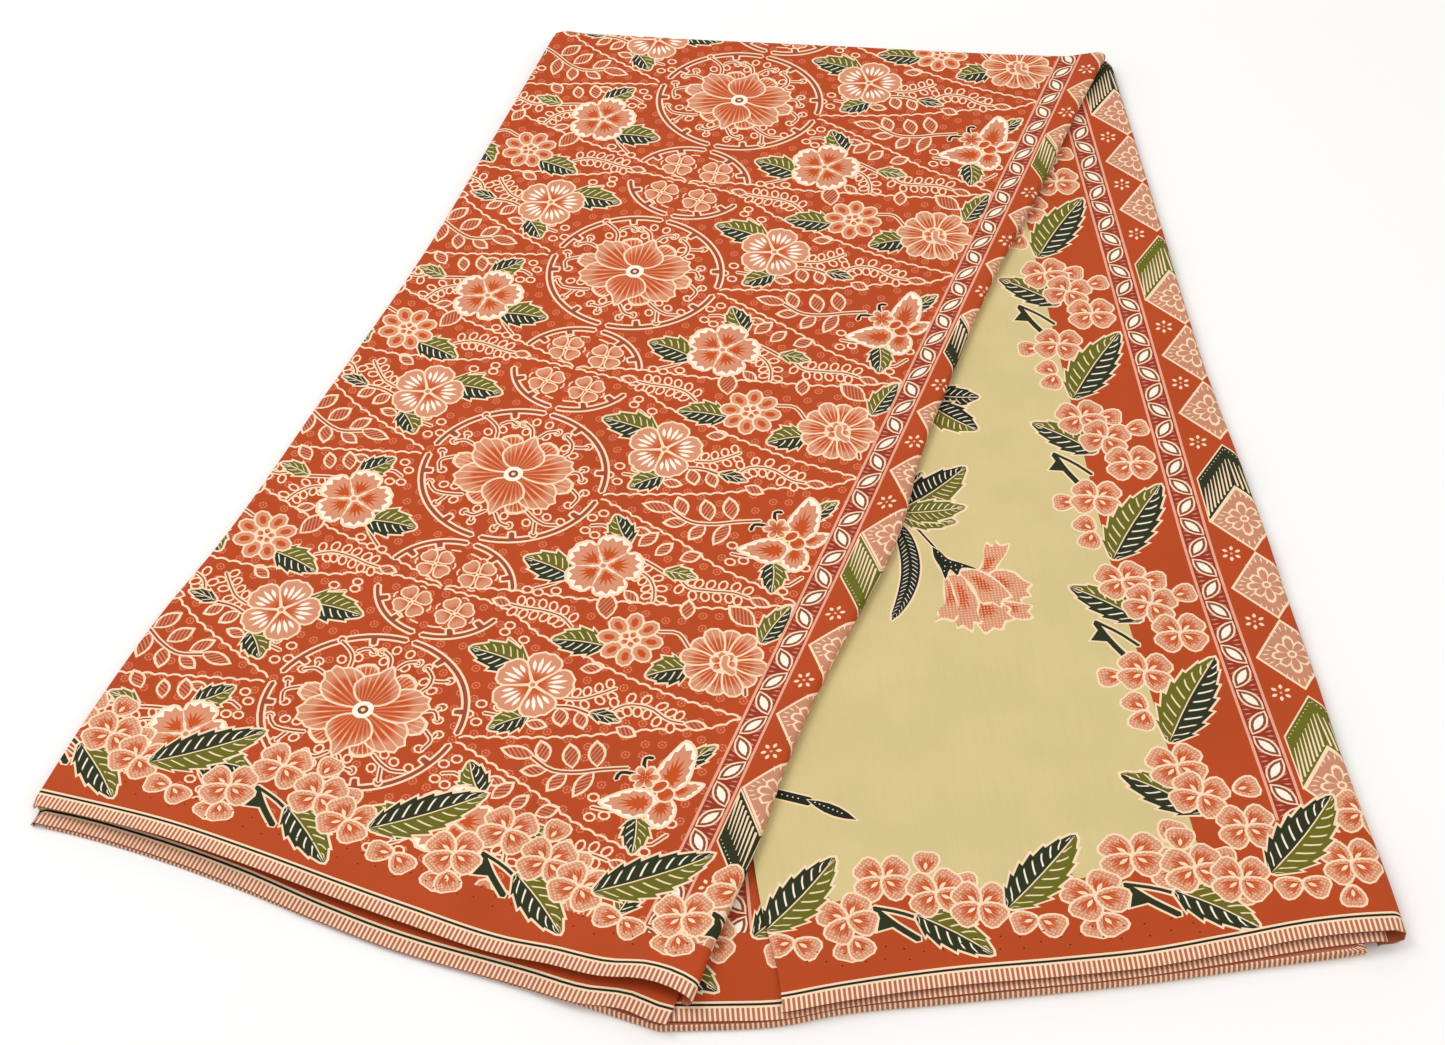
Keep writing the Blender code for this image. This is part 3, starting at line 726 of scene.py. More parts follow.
def medallion(m: Motifs) -> None:
    """Print the round medallion about the origin."""
    cloth = m.cloth
    for start, end, notches in MEDALLION_FRAMES:
        m.frame((68.5, 62.5), start, end, notches)
    for route, branch, loops in TENDRILS:
        for x, y in loops:
            m.loop(x, y, 8.2, degrees(x, y))
        m.stem(curve(branch, 4), 3.7)
        m.stem(curve(route, 7), 3.7)
    for angle, length, width in SMOOTH_PETALS:
        with cloth.at(0, 0, angle), cloth.at(16, 0):
            cloth.put(petal(length - 14.5, width + 1, 12, notch=0.04), Ink.CREAM)
            m.shaded(petal(length - 17, width - 2.4, 12, notch=0.04), Shade.FIBRES, 26)
    for angle, length, width in WAVY_PETALS:
        shares = ((14, 0.34), (24, 0.5), (31, 0.47), (36, 0.36), (38, 0.22), (length, 0.11))
        upper = [(x, width * share) for x, share in shares]
        shares = ((length, 0.12), (38, 0.24), (36, 0.37), (31, 0.47), (24, 0.5), (14, 0.34))
        lower = [(x, -width * share) for x, share in shares]
        with cloth.at(0, 0, angle):
            m.outlined([(3, 0), *upper, (length - 1.8, 0), *lower], Shade.FIBRES, length, 22)
    for angle, length in ((90, 36.5), (270, 38.0)):
        half = [(9, 10.5), (17, 15), (24, 12), (29, 5.5)]
        with cloth.at(0, 0, angle):
            m.outlined(mirrored([(4, 0)], half, [(length, 0)]), Shade.FIBRES, length, 22)
    m.disc((14, 12, Ink.WHITE), (7.2, 10, Ink.STEM), (3.2, 6, Ink.CREAM))


def half_oval(m: Motifs, up: bool) -> None:
    """Print half of the small oval between two medallions, about the oval's middle."""
    cloth = m.cloth
    with cloth.at(0, 0, 0, mirror=not up):
        m.frame((49, 43), 20, 86, (34, 62), 4.2)
        m.frame((49, 43), 94, 162, (118, 146), 4.2)
        for start, end in ((50, 60), (72, 84), (96, 106), (128, 138)):
            m.stroke(arc((38.0, 33.0), start, end, 4), 1.3)
        for x in (-16.0, 16.0):
            with cloth.at(x, 17.5, 8):
                for _ in cloth.around(4, 45):
                    half = [(5.6, 3.7), (9.5, 5.4), (12.2, 3.8)]
                    m.outlined(mirrored([(2.6, 0)], half, [(12.0, 0)]), Shade.HEART, 14, 12, 1.2)
                m.disc((3.0, 6, Ink.CREAM))
            for turn in (0, 90, 180, 270):
                with cloth.at(x, 17.5, turn + 8):
                    m.stroke(np.array([(13.5, -2.5), (14.4, 0), (13.5, 2.5)]), 1.2)


def striped_flower(m: Motifs, x: float, y: float) -> None:
    """Print the five-petalled flower with pale streaks."""
    half = [(8, 4.6), (13, 8.8), (18, 11.0), (22.4, 9.6), (24.8, 5.4), (26.2, 2.4)]
    with m.cloth.at(x, y, 20):
        for _ in m.cloth.around(5):
            m.outlined(mirrored([(2, 0)], half, [(25.2, 0)]), Shade.HEART, 24, 20)
            for ray, start, length in ((-22, 11.5, 8.5), (-8, 9.5, 12.5), (7, 9.5, 13), (21, 11.5, 9)):
                with m.cloth.at(0, 0, ray):
                    m.cloth.put(lens(length, 2.6, 6) + [start, 0], Ink.WHITE)
        m.disc((6.6, 8, Ink.CREAM), (3.6, 7, Ink.PINK))


def white_flower(m: Motifs, x: float, y: float) -> None:
    """Print the five-petalled flower with white ragged edges."""
    half = [(8, 5.2), (14, 9.8), (19, 11.6), (23.2, 9.8), (25.2, 6.0), (26.8, 3)]
    inks = ((Ink.CREAM, 1.05, 0.0), (Ink.WHITE, 0.97, 0.0), (Ink.SALMON, 0.845, 0.07), (Ink.DEEP, 0.43, 0.15))
    with m.cloth.at(x, y, 18):
        for _ in m.cloth.around(5):
            m.nested(mirrored([(1, 0)], half, [(25.8, 0)]), (7, 0), inks, 20, stretch=1.09)
        m.disc((6.8, 8, Ink.CREAM), (3.8, 7, Ink.PINK))


def eight_flower(m: Motifs, x: float, y: float) -> None:
    """Print the small flower of eight round petals."""
    sizes = ((17.2, 13.4, 9, Ink.CREAM), (14.2, 10.4, 9, Ink.SALMON), (8.2, 5.0, 6, Ink.DEEP))
    with m.cloth.at(x, y, 10):
        for _ in m.cloth.around(8, out=14.2):
            for length, width, count, ink in sizes:
                m.cloth.put(oval(length, width, count), ink)
        m.small_heart(6.8, 5)


def daisy(m: Motifs, x: float, y: float) -> None:
    """Print the big many-petalled flower."""
    with m.cloth.at(x, y):
        for first, reach in ((1, 25.8), (0, 28.0)):
            half = [(11, 3.4), (18, 5.4), (23.0, 5.7), (reach - 1.0, 3.4)]
            for _ in m.cloth.around(6, 30 * first + 8):
                m.outlined(mirrored([(4, 0)], half, [(reach, 0)]), Shade.FIBRES, 27, 14)
        m.small_heart(8.6, 6)
        with m.cloth.at(3, -2, -48):
            for width, ink in ((6.4, Ink.CREAM), (3.6, Ink.SALMON)):
                m.stroke(curve([(-7, 2), (0, -1.5), (7, 2)], 6), width, ink)


WINGS = (  # corners about the butterfly's head, then what each shrinks to
    (((13, -13), (11, -24), (4, -29), (-8, -28), (-19, -25), (-12, -16), (-2, -9), (7, -8)), (6, -17)),
    (((13, -16), (12, -24), (17, -29), (23, -30), (28, -20), (25, -12), (19, -9)), (17, -14)),
    (((19, -6), (19, 1), (25, 6), (35, 8), (33, 1), (28, -6)), (22, -2)),
    (((9, -3), (5, 5), (6, 22), (11, 35), (19, 30), (23, 18), (24, 5), (18, -3)), (14, 4)),
)


def butterfly(m: Motifs, x: float, y: float) -> None:
    """Print the butterfly, its head at x and y and its wings to the right."""
    cloth = m.cloth
    inks = ((Ink.CREAM, 1.06, 0.0), (Ink.WHITE, 0.98, 0.0), (Ink.SALMON, 0.86, 0.07), (Ink.DEEP, 0.50, 0.16))
    with cloth.at(x, y):
        for ink, width in ((Ink.CREAM, 4.4), (Ink.BLACK_GREEN, 2.4)):
            m.stroke(curve([(-3, 5), (-6, 10), (-7, 15), (-3, 16)], 7), width, ink)
            m.stroke(curve([(-5, 1), (-11, 1), (-17, -1), (-17, -6)], 7), width, ink)
        for corners, heart in WINGS:
            m.nested(corners, heart, inks, 22)
        for sx, sy, width in ((16.5, -6.5, 13.0), (10.5, -2.0, 9.0)):
            with cloth.at(sx, sy, -35):
                cloth.put(oval(width, 12.5, 10), Ink.CREAM)
                m.shaded(oval(width - 2.8, 9.7, 10), Shade.HEART, 8)
        with cloth.at(-1, 1):
            for _ in cloth.around(6, 20):
                cloth.put(petal(10.2, 8.4, 8), Ink.CREAM)
            for _ in cloth.around(6, 20, 1):
                m.shaded(petal(7.6, 5.8, 8), Shade.HEART, 9)
            m.disc((3.4, 6, Ink.DEEP))


# The body's motifs right of the medallions: mm from a medallion, up the fold
BODY_LEAVES = (  # base x, base y, direction, length, width, dark half on its left
    (85, 66, 176, 44, 25, True), (103, 31, 224, 25, 19, True), (105, -34, 131, 28, 19, False),
    (80, -72, 172, 38, 25, True), (213, 26, 62, 26, 12, False), (203, -16, -72, 27, 17, False),
    (220, -83, 78, 36, 17, False), (125, -119, 190, 36, 22, True), (184, -118, 212, 28, 23, True),
)
BODY_BUDS = (  # base x, base y, direction, length, width
    (117, 76, 20, 15, 8.5), (119, 44, -58, 16, 10), (132, 45, -52, 15, 9), (160, 41, -8, 15, 9),
    (104, 26, 5, 15, 8), (101, -22, 8, 15, 8), (112, -34, 62, 18, 10), (126, -38, 62, 16, 9),
    (143, -36, 40, 16, 10), (118, -72, -28, 15, 8), (167, -82, 105, 17, 10), (212, -72, 155, 25, 14),
    (117, -99, 112, 24, 14),
)
BODY_SPRAYS = (  # route, loop size, bud length
    (((119, 51), (129, 54), (138, 61), (148, 71)), 9.0, 0),
    (((150, 47), (157, 58), (172, 62), (190, 57), (199, 58)), 9.5, 16),
    (((118, -53), (130, -57), (137, -65), (141, -77)), 9.0, 0),
    (((150, -51), (158, -56), (172, -54), (190, -50), (200, -51)), 9.5, 16),
    (((98, -112), (88, -106), (74, -105), (58, -107), (50, -107)), 9.4, 14),
)
BODY_TENDRILS = (  # route, loops as x, y
    (((92, 26), (84, 25), (76, 24)), ((71, 30), (75, 16), (83, 31), (67, 20))),
    (((92, -28), (82, -24), (74, -27)), ((72, -20), (78, -14), (72, -32), (80, -34))),
    (((84, 68), (70, 80), (62, 84)), ((57, 88), (64, 78), (72, 86), (58, 94))),
    (((78, -74), (68, -84), (60, -90)), ((56, -92), (64, -92), (70, -80), (75, -87))),
    (((196, -14), (184, -18), (174, -19)), ((172, -12), (176, -26), (184, -22))),
    (((206, -30), (218, -33), (226, -22)), ((211, -38), (218, -38), (209, -29), (225, -14))),
)
BUTTERFLY_UP = ((71, 1.5), (100, 11), (140, 25.5), (180, 45), (220, 63), (230, 73))
BUTTERFLY_DOWN = ((71, -2.5), (110, -13.5), (140, -22.5), (170, -33.5), (200, -39), (230, -45))
DAISY_UP = ((2, 110), (40, 119.5), (100, 130), (140, 140), (180, 150), (230, 171))
DAISY_DOWN = ((2, 108), (45, 106), (60, 101.5), (80, 92.5), (100, 89), (140, 80.5), (180, 75), (230, 74))
STEM_BUDS = (  # base x, base y, direction, length, width
    (124, 4, 183, 24, 10), (132, 2, 128, 18, 10), (150, 3, 122, 20, 11), (164, 9, 118, 21, 11),
    (136, -3, 200, 17, 9), (148, 0, 252, 18, 10), (163, 7, 262, 23, 10),
)


def body_half(m: Motifs) -> None:
    """Print what lies right of a medallion, for one repeat."""
    for rows in (BUTTERFLY_UP, BUTTERFLY_DOWN, DAISY_UP, DAISY_DOWN):
        m.scallops(rows)
    for x, y, turn, length, width in BODY_BUDS + STEM_BUDS:
        m.bud(x, y, turn, length, width)
    m.stem(curve([(182, 15), (168, 9), (152, 1), (138, -2), (122, 3)], 12))
    for route, loops in BODY_TENDRILS:
        for x, y in loops:
            m.loop(x, y, 8.4)
        m.stem(curve(route, 6), 3.6)
    for route, size, bud in BODY_SPRAYS:
        m.spray(route, size, bud)
    m.stem(curve([(113, 42), (126, 46), (141, 45)], 6))
    m.leaf(140, 46, 0, 20, 10, dark=Ink.GREEN, pale=Ink.GREEN, teeth=3)
    m.stem(curve([(116, -43), (128, -46), (140, -50)], 6))
    m.leaf(138, -48, 4, 22, 12, dark=Ink.OLIVE, pale=Ink.OLIVE, teeth=3)
    m.stem(curve([(154, -97), (166, -94), (178, -103)], 7), 3.6)
    m.stem(curve([(226, -126), (222, -119), (218, -118)], 5))
    for x, y, turn, length, width, flip in BODY_LEAVES:
        m.leaf(x, y, turn, length, width, flip)
    striped_flower(m, 94.5, 54.5)
    white_flower(m, 96.5, -57)
    eight_flower(m, 138.5, -109)
    daisy(m, 203, -106)
    butterfly(m, 196, 11)


def body_print(m: Motifs, first: int, last: int) -> None:
    """Print the body's medallions, flowers and scalloped triangles, first to last from the near side."""
    for n in range(first, last + 1):
        y = REPEAT * n
        for side, shift in ((1, 0.0), (-1, 1.0)):
            with m.cloth.under(Place(shift, y, 0.0, side, 1.0, -SKEW * side)):
                body_half(m)
        with m.cloth.under(Place(MEDALLION_U, y, skew=-SKEW)):
            with m.cloth.at(0, REPEAT / 2):
                half_oval(m, True)
                half_oval(m, False)
            medallion(m)


LENSES = ((21.6, 11.2, 10, Ink.CREAM), (18.6, 8.6, 10, Ink.STEM), (13.4, 5.2, 8, Ink.WHITE))


def chain_strip(m: Motifs, start: float, end: float, width: float) -> None:
    """Print the strip of tilted lenses between two lines, along y from x = 0."""
    cloth = m.cloth
    cloth.put(rectangle(-1, start, width + 1, end), Ink.GROUND_DARK)
    step = DIAMOND_REPEAT / 12
    for k in range(math.floor(start / step), math.ceil(end / step) + 1):
        y = k * step
        odd = k % 2
        for ray in (-37, -23, -8, 8, 23, 37):
            with cloth.at(width if odd else 0.0, y + step / 2, (180 if odd else 0) + ray):
                near = 10.4 / math.cos(math.radians(ray))
                cloth.put(lens(5.2, 1.3, 4) + [near, 0], Ink.PINK)
        with cloth.at(width / 2, y, 54 if odd else 126):
            for length, high, count, ink in LENSES:
                cloth.put(lens(length, high, count) - [length / 2, 0], ink)
    for x in (0.0, width):
        cloth.put(rectangle(x - 0.9, start, x + 0.9, end), Ink.ROSE)


def six_dots(m: Motifs, x: float, y: float) -> None:
    """Print a flower of six pale dots."""
    with m.cloth.at(x, y, 20):
        for _ in m.cloth.around(6):
            m.cloth.put(lens(4.0, 2.5, 6) + [2.7, 0], Ink.CREAM)
        m.disc((2.0, 6, Ink.ROSE))


def diamond(m: Motifs, x: float, y: float) -> None:
    """Print a diamond with its outlined flower, ticks in the corners."""
    cloth = m.cloth
    with cloth.at(x, y):
        for w, h, ink in ((23.0, 29.3, Ink.CREAM), (21.0, 26.8, Ink.PINK)):
            cloth.put(np.array([(-w, 0), (0, -h), (w, 0), (0, h)]), ink)
        for corner in range(4):
            far, spread = (19.6, 1.0) if corner % 2 else (14.6, 1.25)
            for ray in (-26, -15.5, -5, 5, 15.5, 26):
                with cloth.at(0, 0, corner * 90 + ray * spread):
                    cloth.put(lens(5.0, 1.1, 4) + [far - abs(ray) * 0.13, 0], Ink.CREAM)
        for length, width, count, out, ink in ((12.8, 8.8, 10, 0.4, Ink.CREAM), (9.4, 6.2, 8, 2.0, Ink.PINK)):
            for k in cloth.around(8):
                stretch = 1.2 if k % 4 == 2 else 1.0
                cloth.put(petal(length * stretch, width, count, notch=0.12 * (k % 2)) + [out, 0], ink)
        m.disc((6.2, 8, Ink.CREAM), (3.6, 6, Ink.PINK))


def chevron(m: Motifs, x: float, y: float, ink: Ink, up: bool) -> None:
    """Print a solid-edged chevron with a comb of pale strokes, apex at x and y.

    Args:
        m: The motifs of the panel's print.
        x: The apex.
        y: The apex.
        ink: Its colour.
        up: Whether the apex points away from the viewer.
    """
    cloth = m.cloth
    half_w, fall, tall = 23.5, 29.5, 41.0
    low = -fall - tall
    slope = fall / half_w
    with cloth.at(x, y, mirror=not up):
        outer = [(-half_w, -fall), (0, 0), (half_w, -fall), (half_w, low), (0, -tall), (-half_w, low)]
        cloth.put(np.array(outer), Ink.CREAM)
        w, top, low = half_w - 0.9, -fall - 0.6, -fall - tall + 2.6
        cloth.put(np.array([(-w, top), (0, -1.6), (w, top), (w, low), (0, -tall + 1.8), (-w, low)]), ink)
        for side in (-1, 1):
            for k in range(8):
                at = side * (1.7 + 2.75 * k)
                top = -abs(at) * slope - 12.5
                low = -abs(at) * slope - tall + 3.2
                bow = side * (0.6 + 0.10 * k)
                points = np.array([(at + bow, low), (at, (low + top) / 2), (at - bow * 0.9, top)])
                cloth.put(ribbon(points, np.array([1.3, 1.1, 0.5])), Ink.CREAM)
            for k in range(11):
                at = side * (0.8 + 2.0 * k)
                cloth.put(oval(1.0, 1.0, 4, at, -abs(at) * slope - 4.6), Ink.CREAM)


def border_petal(m: Motifs, x: float, y: float, turn: float, size: float = 17.0) -> None:
    """Print one wide border petal from the flower's middle."""
    cloth = m.cloth
    half = [(0.32, 0.19), (0.60, 0.31), (0.52, 0.17), (0.78, 0.12)]
    with cloth.at(x, y, turn):
        cloth.put(petal(size + 1.8, size * 1.10 + 2.6, 14, notch=0.09) - [0.8, 0], Ink.CREAM)
        inner = petal(size - 1.4, size * 1.10 - 0.8, 14, notch=0.09) + [1.0, 0]
        cloth.put(inner, Ink.SALMON, Ink.CREAM, Shade.DOTS)
        m.shaded(np.array(mirrored([(0.10, 0)], half, [(0.62, 0)])) * size, Shade.HEART, size * 1.55)
        cloth.put(lens(size * 0.34, 2.4, 6) + [3.0, 0], Ink.CREAM)


def border_flower(m: Motifs, x: float, y: float, turn: float) -> None:
    """Print a four-petalled border flower."""
    for k in range(4):
        border_petal(m, x, y, turn + 90 * k + (6 if k % 2 else -4), 18.8)


def border_leaf(m: Motifs, base: Pair, tip: Pair, width: float, dark_left: bool = True,
                dark: Ink = Ink.GREEN, pale: Ink = Ink.OLIVE, teeth: int = 7, veins: float = 7.6) -> None:
    """Print a serrated leaf from base to tip."""
    dx, dy = tip[0] - base[0], tip[1] - base[1]
    m.leaf(*base, degrees(dx, dy), math.hypot(dx, dy), width, dark_left, dark, pale, teeth, 0.10, veins)


def thorn(m: Motifs, start: Pair, end: Pair) -> None:
    """Print the short dark forked stem beside a border leaf."""
    dx, dy = end[0] - start[0], end[1] - start[1]
    reach = math.hypot(dx, dy)
    with m.cloth.at(*start, degrees(dx, dy)):
        main = curve([(-1, 1), (0.42 * reach, -6), (0.98 * reach, -12.5)], 7)
        barb = np.array([(0.10 * reach, -2), (0.14 * reach, -13), (0.44 * reach, -7.5)])
        arm = curve([(-2, 2), (0.5 * reach, 2.4), (0.98 * reach, 0.6)], 6)
        for edge, ink in ((2.6, Ink.CREAM), (0.0, Ink.GREEN)):
            m.stroke(main, 3.8 + edge, ink)
            m.cloth.put(grown(barb, edge / 2), ink)
            m.stroke(arm, 2.2 + edge, ink)


def blooms(m: Motifs, petals: Sequence[Row], flowers: Sequence[Row]) -> None:
    """Print loose petals and then whole flowers of the border, each as x, y and turn."""
    for x, y, turn in petals:
        border_petal(m, x, y, turn)
    for x, y, turn in flowers:
        border_flower(m, x, y, turn)


NEAR_FLOWERS = ((77, 25, 42), (107, 12, 50), (54, 0, 62), (131, 1, 36))  # x, y, turn
NEAR_PETALS = (  # x, y, direction
    (22, -12, 190), (22, -12, 325), (55, -13, 250), (55, -13, 300), (102, 25, 78), (126, 8, 100),
)


def near_border(m: Motifs, base: Pair = (0, 0), tip: Pair = (55, 46)) -> None:
    """Print one repeat of the border along a selvedge, from its main leaf's base to its tip."""
    thorn(m, (71, 3), (98, -7))
    border_leaf(m, (94, -2), (134, -33), 23, dark_left=False, teeth=5)
    blooms(m, NEAR_PETALS, NEAR_FLOWERS)
    border_leaf(m, base, tip, 27)


SIDE_FLOWERS = ((-1, 56, 30), (2, -19, 48), (15, -41, 20), (28, -67, 40))  # x, y, turn
SIDE_PETALS = (  # x, y, direction
    (-14, 54, 178), (-7, 26, 130), (-8, 26, 245), (14, -20, -10), (30, -36, 8),
)


def side_border(m: Motifs) -> None:
    """Print one repeat of the border beside the field, from its main leaf's base."""
    thorn(m, (-22, -54), (0, -75))
    border_leaf(m, (7, -54), (-32, -20), 24, teeth=5)
    blooms(m, SIDE_PETALS, SIDE_FLOWERS)
    border_leaf(m, (0, 0), (44, 62), 30, dark_left=False)


CORNER_FLOWERS = ((98, -65, 30), (0, -18, 48), (8, -41, 20), (29, -67, 40), (-13, -92, 40), (13, -104, 30))
CORNER_PETALS = (  # x, y, direction
    (-14, 54, 178), (-7, 26, 130), (-8, 26, 245), (28, -40, 8), (-18, -72, 60), (51, -109, 200),
    (51, -109, 330),
)


def corner_border(m: Motifs) -> None:
    """Print the border's corner, beside the near border's last flowers."""
    border_leaf(m, (7, -54), (-32, -20), 24, teeth=5)
    blooms(m, (), CORNER_FLOWERS)
    blooms(m, CORNER_PETALS, ((-1, 56, 30), (82, -99, 42)))
    border_petal(m, 78, -115, 262, 16.0)
    border_leaf(m, (35, -101), (84, -51), 30)
    border_leaf(m, (0, 0), (44, 62), 30, dark_left=False)


def specks(m: Motifs, start: float, end: float, y: float) -> None:
    """Print the tiny dark dots left along a border."""
    for k in range(int((end - start) / 6)):
        x = start + 6 * k + 2.4 * math.sin(2.9 * k)
        m.cloth.put(oval(1.5, 1.3, 4, x, y + 5.5 * math.sin(1.7 * k)), Ink.SPECK)


FIELD_LEAVES = (  # base, tip, width, dark half's ink, pale half's ink
    ((159, -108), (179, -73), 17, Ink.BLACK_GREEN, Ink.BLACK_GREEN),
    ((158, -111), (196, -122), 18, Ink.OLIVE, Ink.OLIVE),
    ((160, -107), (209, -72), 30, Ink.BLACK_GREEN, Ink.OLIVE),
    ((160, -109), (204, -109), 20, Ink.OLIVE, Ink.OLIVE),
    ((192, 2), (228, -6), 22, Ink.BLACK_GREEN, Ink.BLACK_GREEN),
    ((192, -8), (222, -38), 26, Ink.BLACK_GREEN, Ink.OLIVE),
)
CARNATION = (  # corners of each petal, then what its heart shrinks to
    (((203, -169), (208, -161), (210, -150), (213, -143), (216, -147), (219, -142), (221, -147),
      (227, -146), (225, -152), (217, -163), (211, -171)), (209, -164)),
    (((207, -173), (216, -168), (226, -171), (231, -178), (236, -183), (232, -187), (234, -192),
      (227, -194), (228, -199), (219, -197), (213, -184)), (214, -178)),
    (((216, -195), (226, -198), (233, -201), (230, -205), (232, -210), (225, -211), (221, -209)),
      (219, -200)),
    (((181, -170), (180, -182), (178, -193), (173, -198), (174, -202), (170, -206), (177, -204),
      (181, -207), (187, -201), (189, -186), (186, -174)), (184, -182)),
    (((196, -189), (205, -188), (212, -196), (219, -201), (217, -206), (221, -210), (214, -212),
      (212, -218), (206, -216), (202, -220), (197, -211)), (203, -198)),
    (((184, -168), (191, -168), (196, -180), (200, -194), (198, -203), (200, -211), (195, -210),
      (193, -218), (188, -212), (184, -213), (187, -200), (186, -182)), (190, -184)),
    (((191, -166), (200, -165), (210, -172), (218, -183), (221, -192), (216, -193), (214, -199),
      (208, -194), (204, -195), (199, -180)), (203, -176)),
)
CUP = (  # corners of the carnation's cup
    (177, -142), (181, -146), (186, -154), (193, -158), (203, -165), (193, -163), (190, -169), (186, -163),
    (182, -171), (180, -161), (177, -151),
)
CUP_DOTS = (  # the pale dots on it
    (180, -147), (182, -151), (184, -155), (187, -157), (190, -160), (187, -161), (183, -160), (182, -164),
    (190, -164), (194, -161),
)


def long_leaf(cloth: Print) -> None:
    """Print the bouquet's long bowed leaf."""
    spine = curve([(150, -113), (158, -126), (161, -143), (159.5, -165), (153, -184), (143, -202)], 19)
    width = 12.5 * np.sin(np.linspace(0.2, math.pi, 19)) ** 0.55
    walk = np.concatenate([[0], np.cumsum(spans(spine))])
    cloth.put(ribbon(spine, width + 2.6), Ink.CREAM)

    def herringbone(points: Array) -> Array:
        """Return veins along the long leaf and the share of its half width across."""
        k = np.linalg.norm(points[:, None] - spine, axis=2).argmin(axis=1)
        way = headings(spine)[k]
        off = points - spine[k]
        side = way[:, 0] * off[:, 1] - way[:, 1] * off[:, 0]
        ahead = (way * off).sum(axis=1)
        return np.column_stack([(walk[k] + ahead) / 3.6, side / np.maximum(width[k] / 2, 0.8)])

    cloth.put(ribbon(spine, width), Ink.BLACK_GREEN, Ink.WHITE, Shade.VEINS, warp=herringbone)


def bouquet(m: Motifs) -> None:
    """Print the field's bouquet: leaves, a long leaf and a carnation."""
    cloth = m.cloth
    bar = curve([(20, -316), (48, -326), (77, -338)], 8)
    m.stroke(bar, 8.6)
    m.stroke(bar, 6.4, Ink.BLACK_GREEN)
    with cloth.at(75, -336, -33):
        cloth.put(lens(36, 10.0, 10), Ink.CREAM)
        cloth.put(lens(33, 7.4, 10) + [1, 0], Ink.BLACK_GREEN)
        for k in range(7):
            cloth.put(oval(1.2, 1.0, 4, 6 + 3 * k, 0.4), Ink.WHITE)
    for k in range(8):
        cloth.put(oval(1.2, 1.0, 4, 48 + 3.2 * k, -325.4 - 1.35 * k), Ink.WHITE)
    stalk = curve([(150, -111), (160, -115), (168, -123), (174, -134), (179, -144)], 12)
    m.stroke(stalk, 3.2)
    m.stroke(stalk, 1.5, Ink.BLACK_GREEN)
    long_leaf(cloth)
    for base, tip, wide, dark, pale in FIELD_LEAVES:
        border_leaf(m, base, tip, wide, True, dark, pale, 4, 4.4)
    rim = (Ink.CREAM, 1.06, 0.0)
    for corners, heart in CARNATION:
        m.nested(corners, heart, (rim, (Ink.SALMON, 0.97, 0.02), (Ink.DEEP, 0.46, 0.14)), 30, True)
    m.nested(CUP, (184, -156), (rim, (Ink.BLACK_GREEN, 1.0, 0.0)), 33)
    for x, y in CUP_DOTS:
        cloth.put(oval(1.1, 1.1, 4, x, y), Ink.WHITE)


def selvedge_band(cloth: Print, rows: Sequence[Row], start: float, end: float) -> None:
    """Print the lines and ticks that run along a selvedge.

    Args:
        cloth: The panel's print.
        rows: The selvedge's table.
        start: Where they start, in m.
        end: Where they end, in m.
    """
    at = np.linspace(start, end, 60)
    edge = np.column_stack([at, table(rows, at)]) / MM
    for low, high, ink, second, shade in (
        (-4.0, BAND, Ink.CREAM, Ink.CREAM, Shade.PLAIN),
        (TICKS + 1.4, TICKS + 3.0, Ink.BLACK_GREEN, Ink.BLACK_GREEN, Shade.PLAIN),
        (-4.0, TICKS, Ink.TICK_BROWN, Ink.TICK_PALE, Shade.TICKS),
    ):
        ring = np.concatenate([edge + [0, low], (edge + [0, high])[::-1]])
        cloth.put(ring, ink, second, shade, unit=TICK_PITCH)


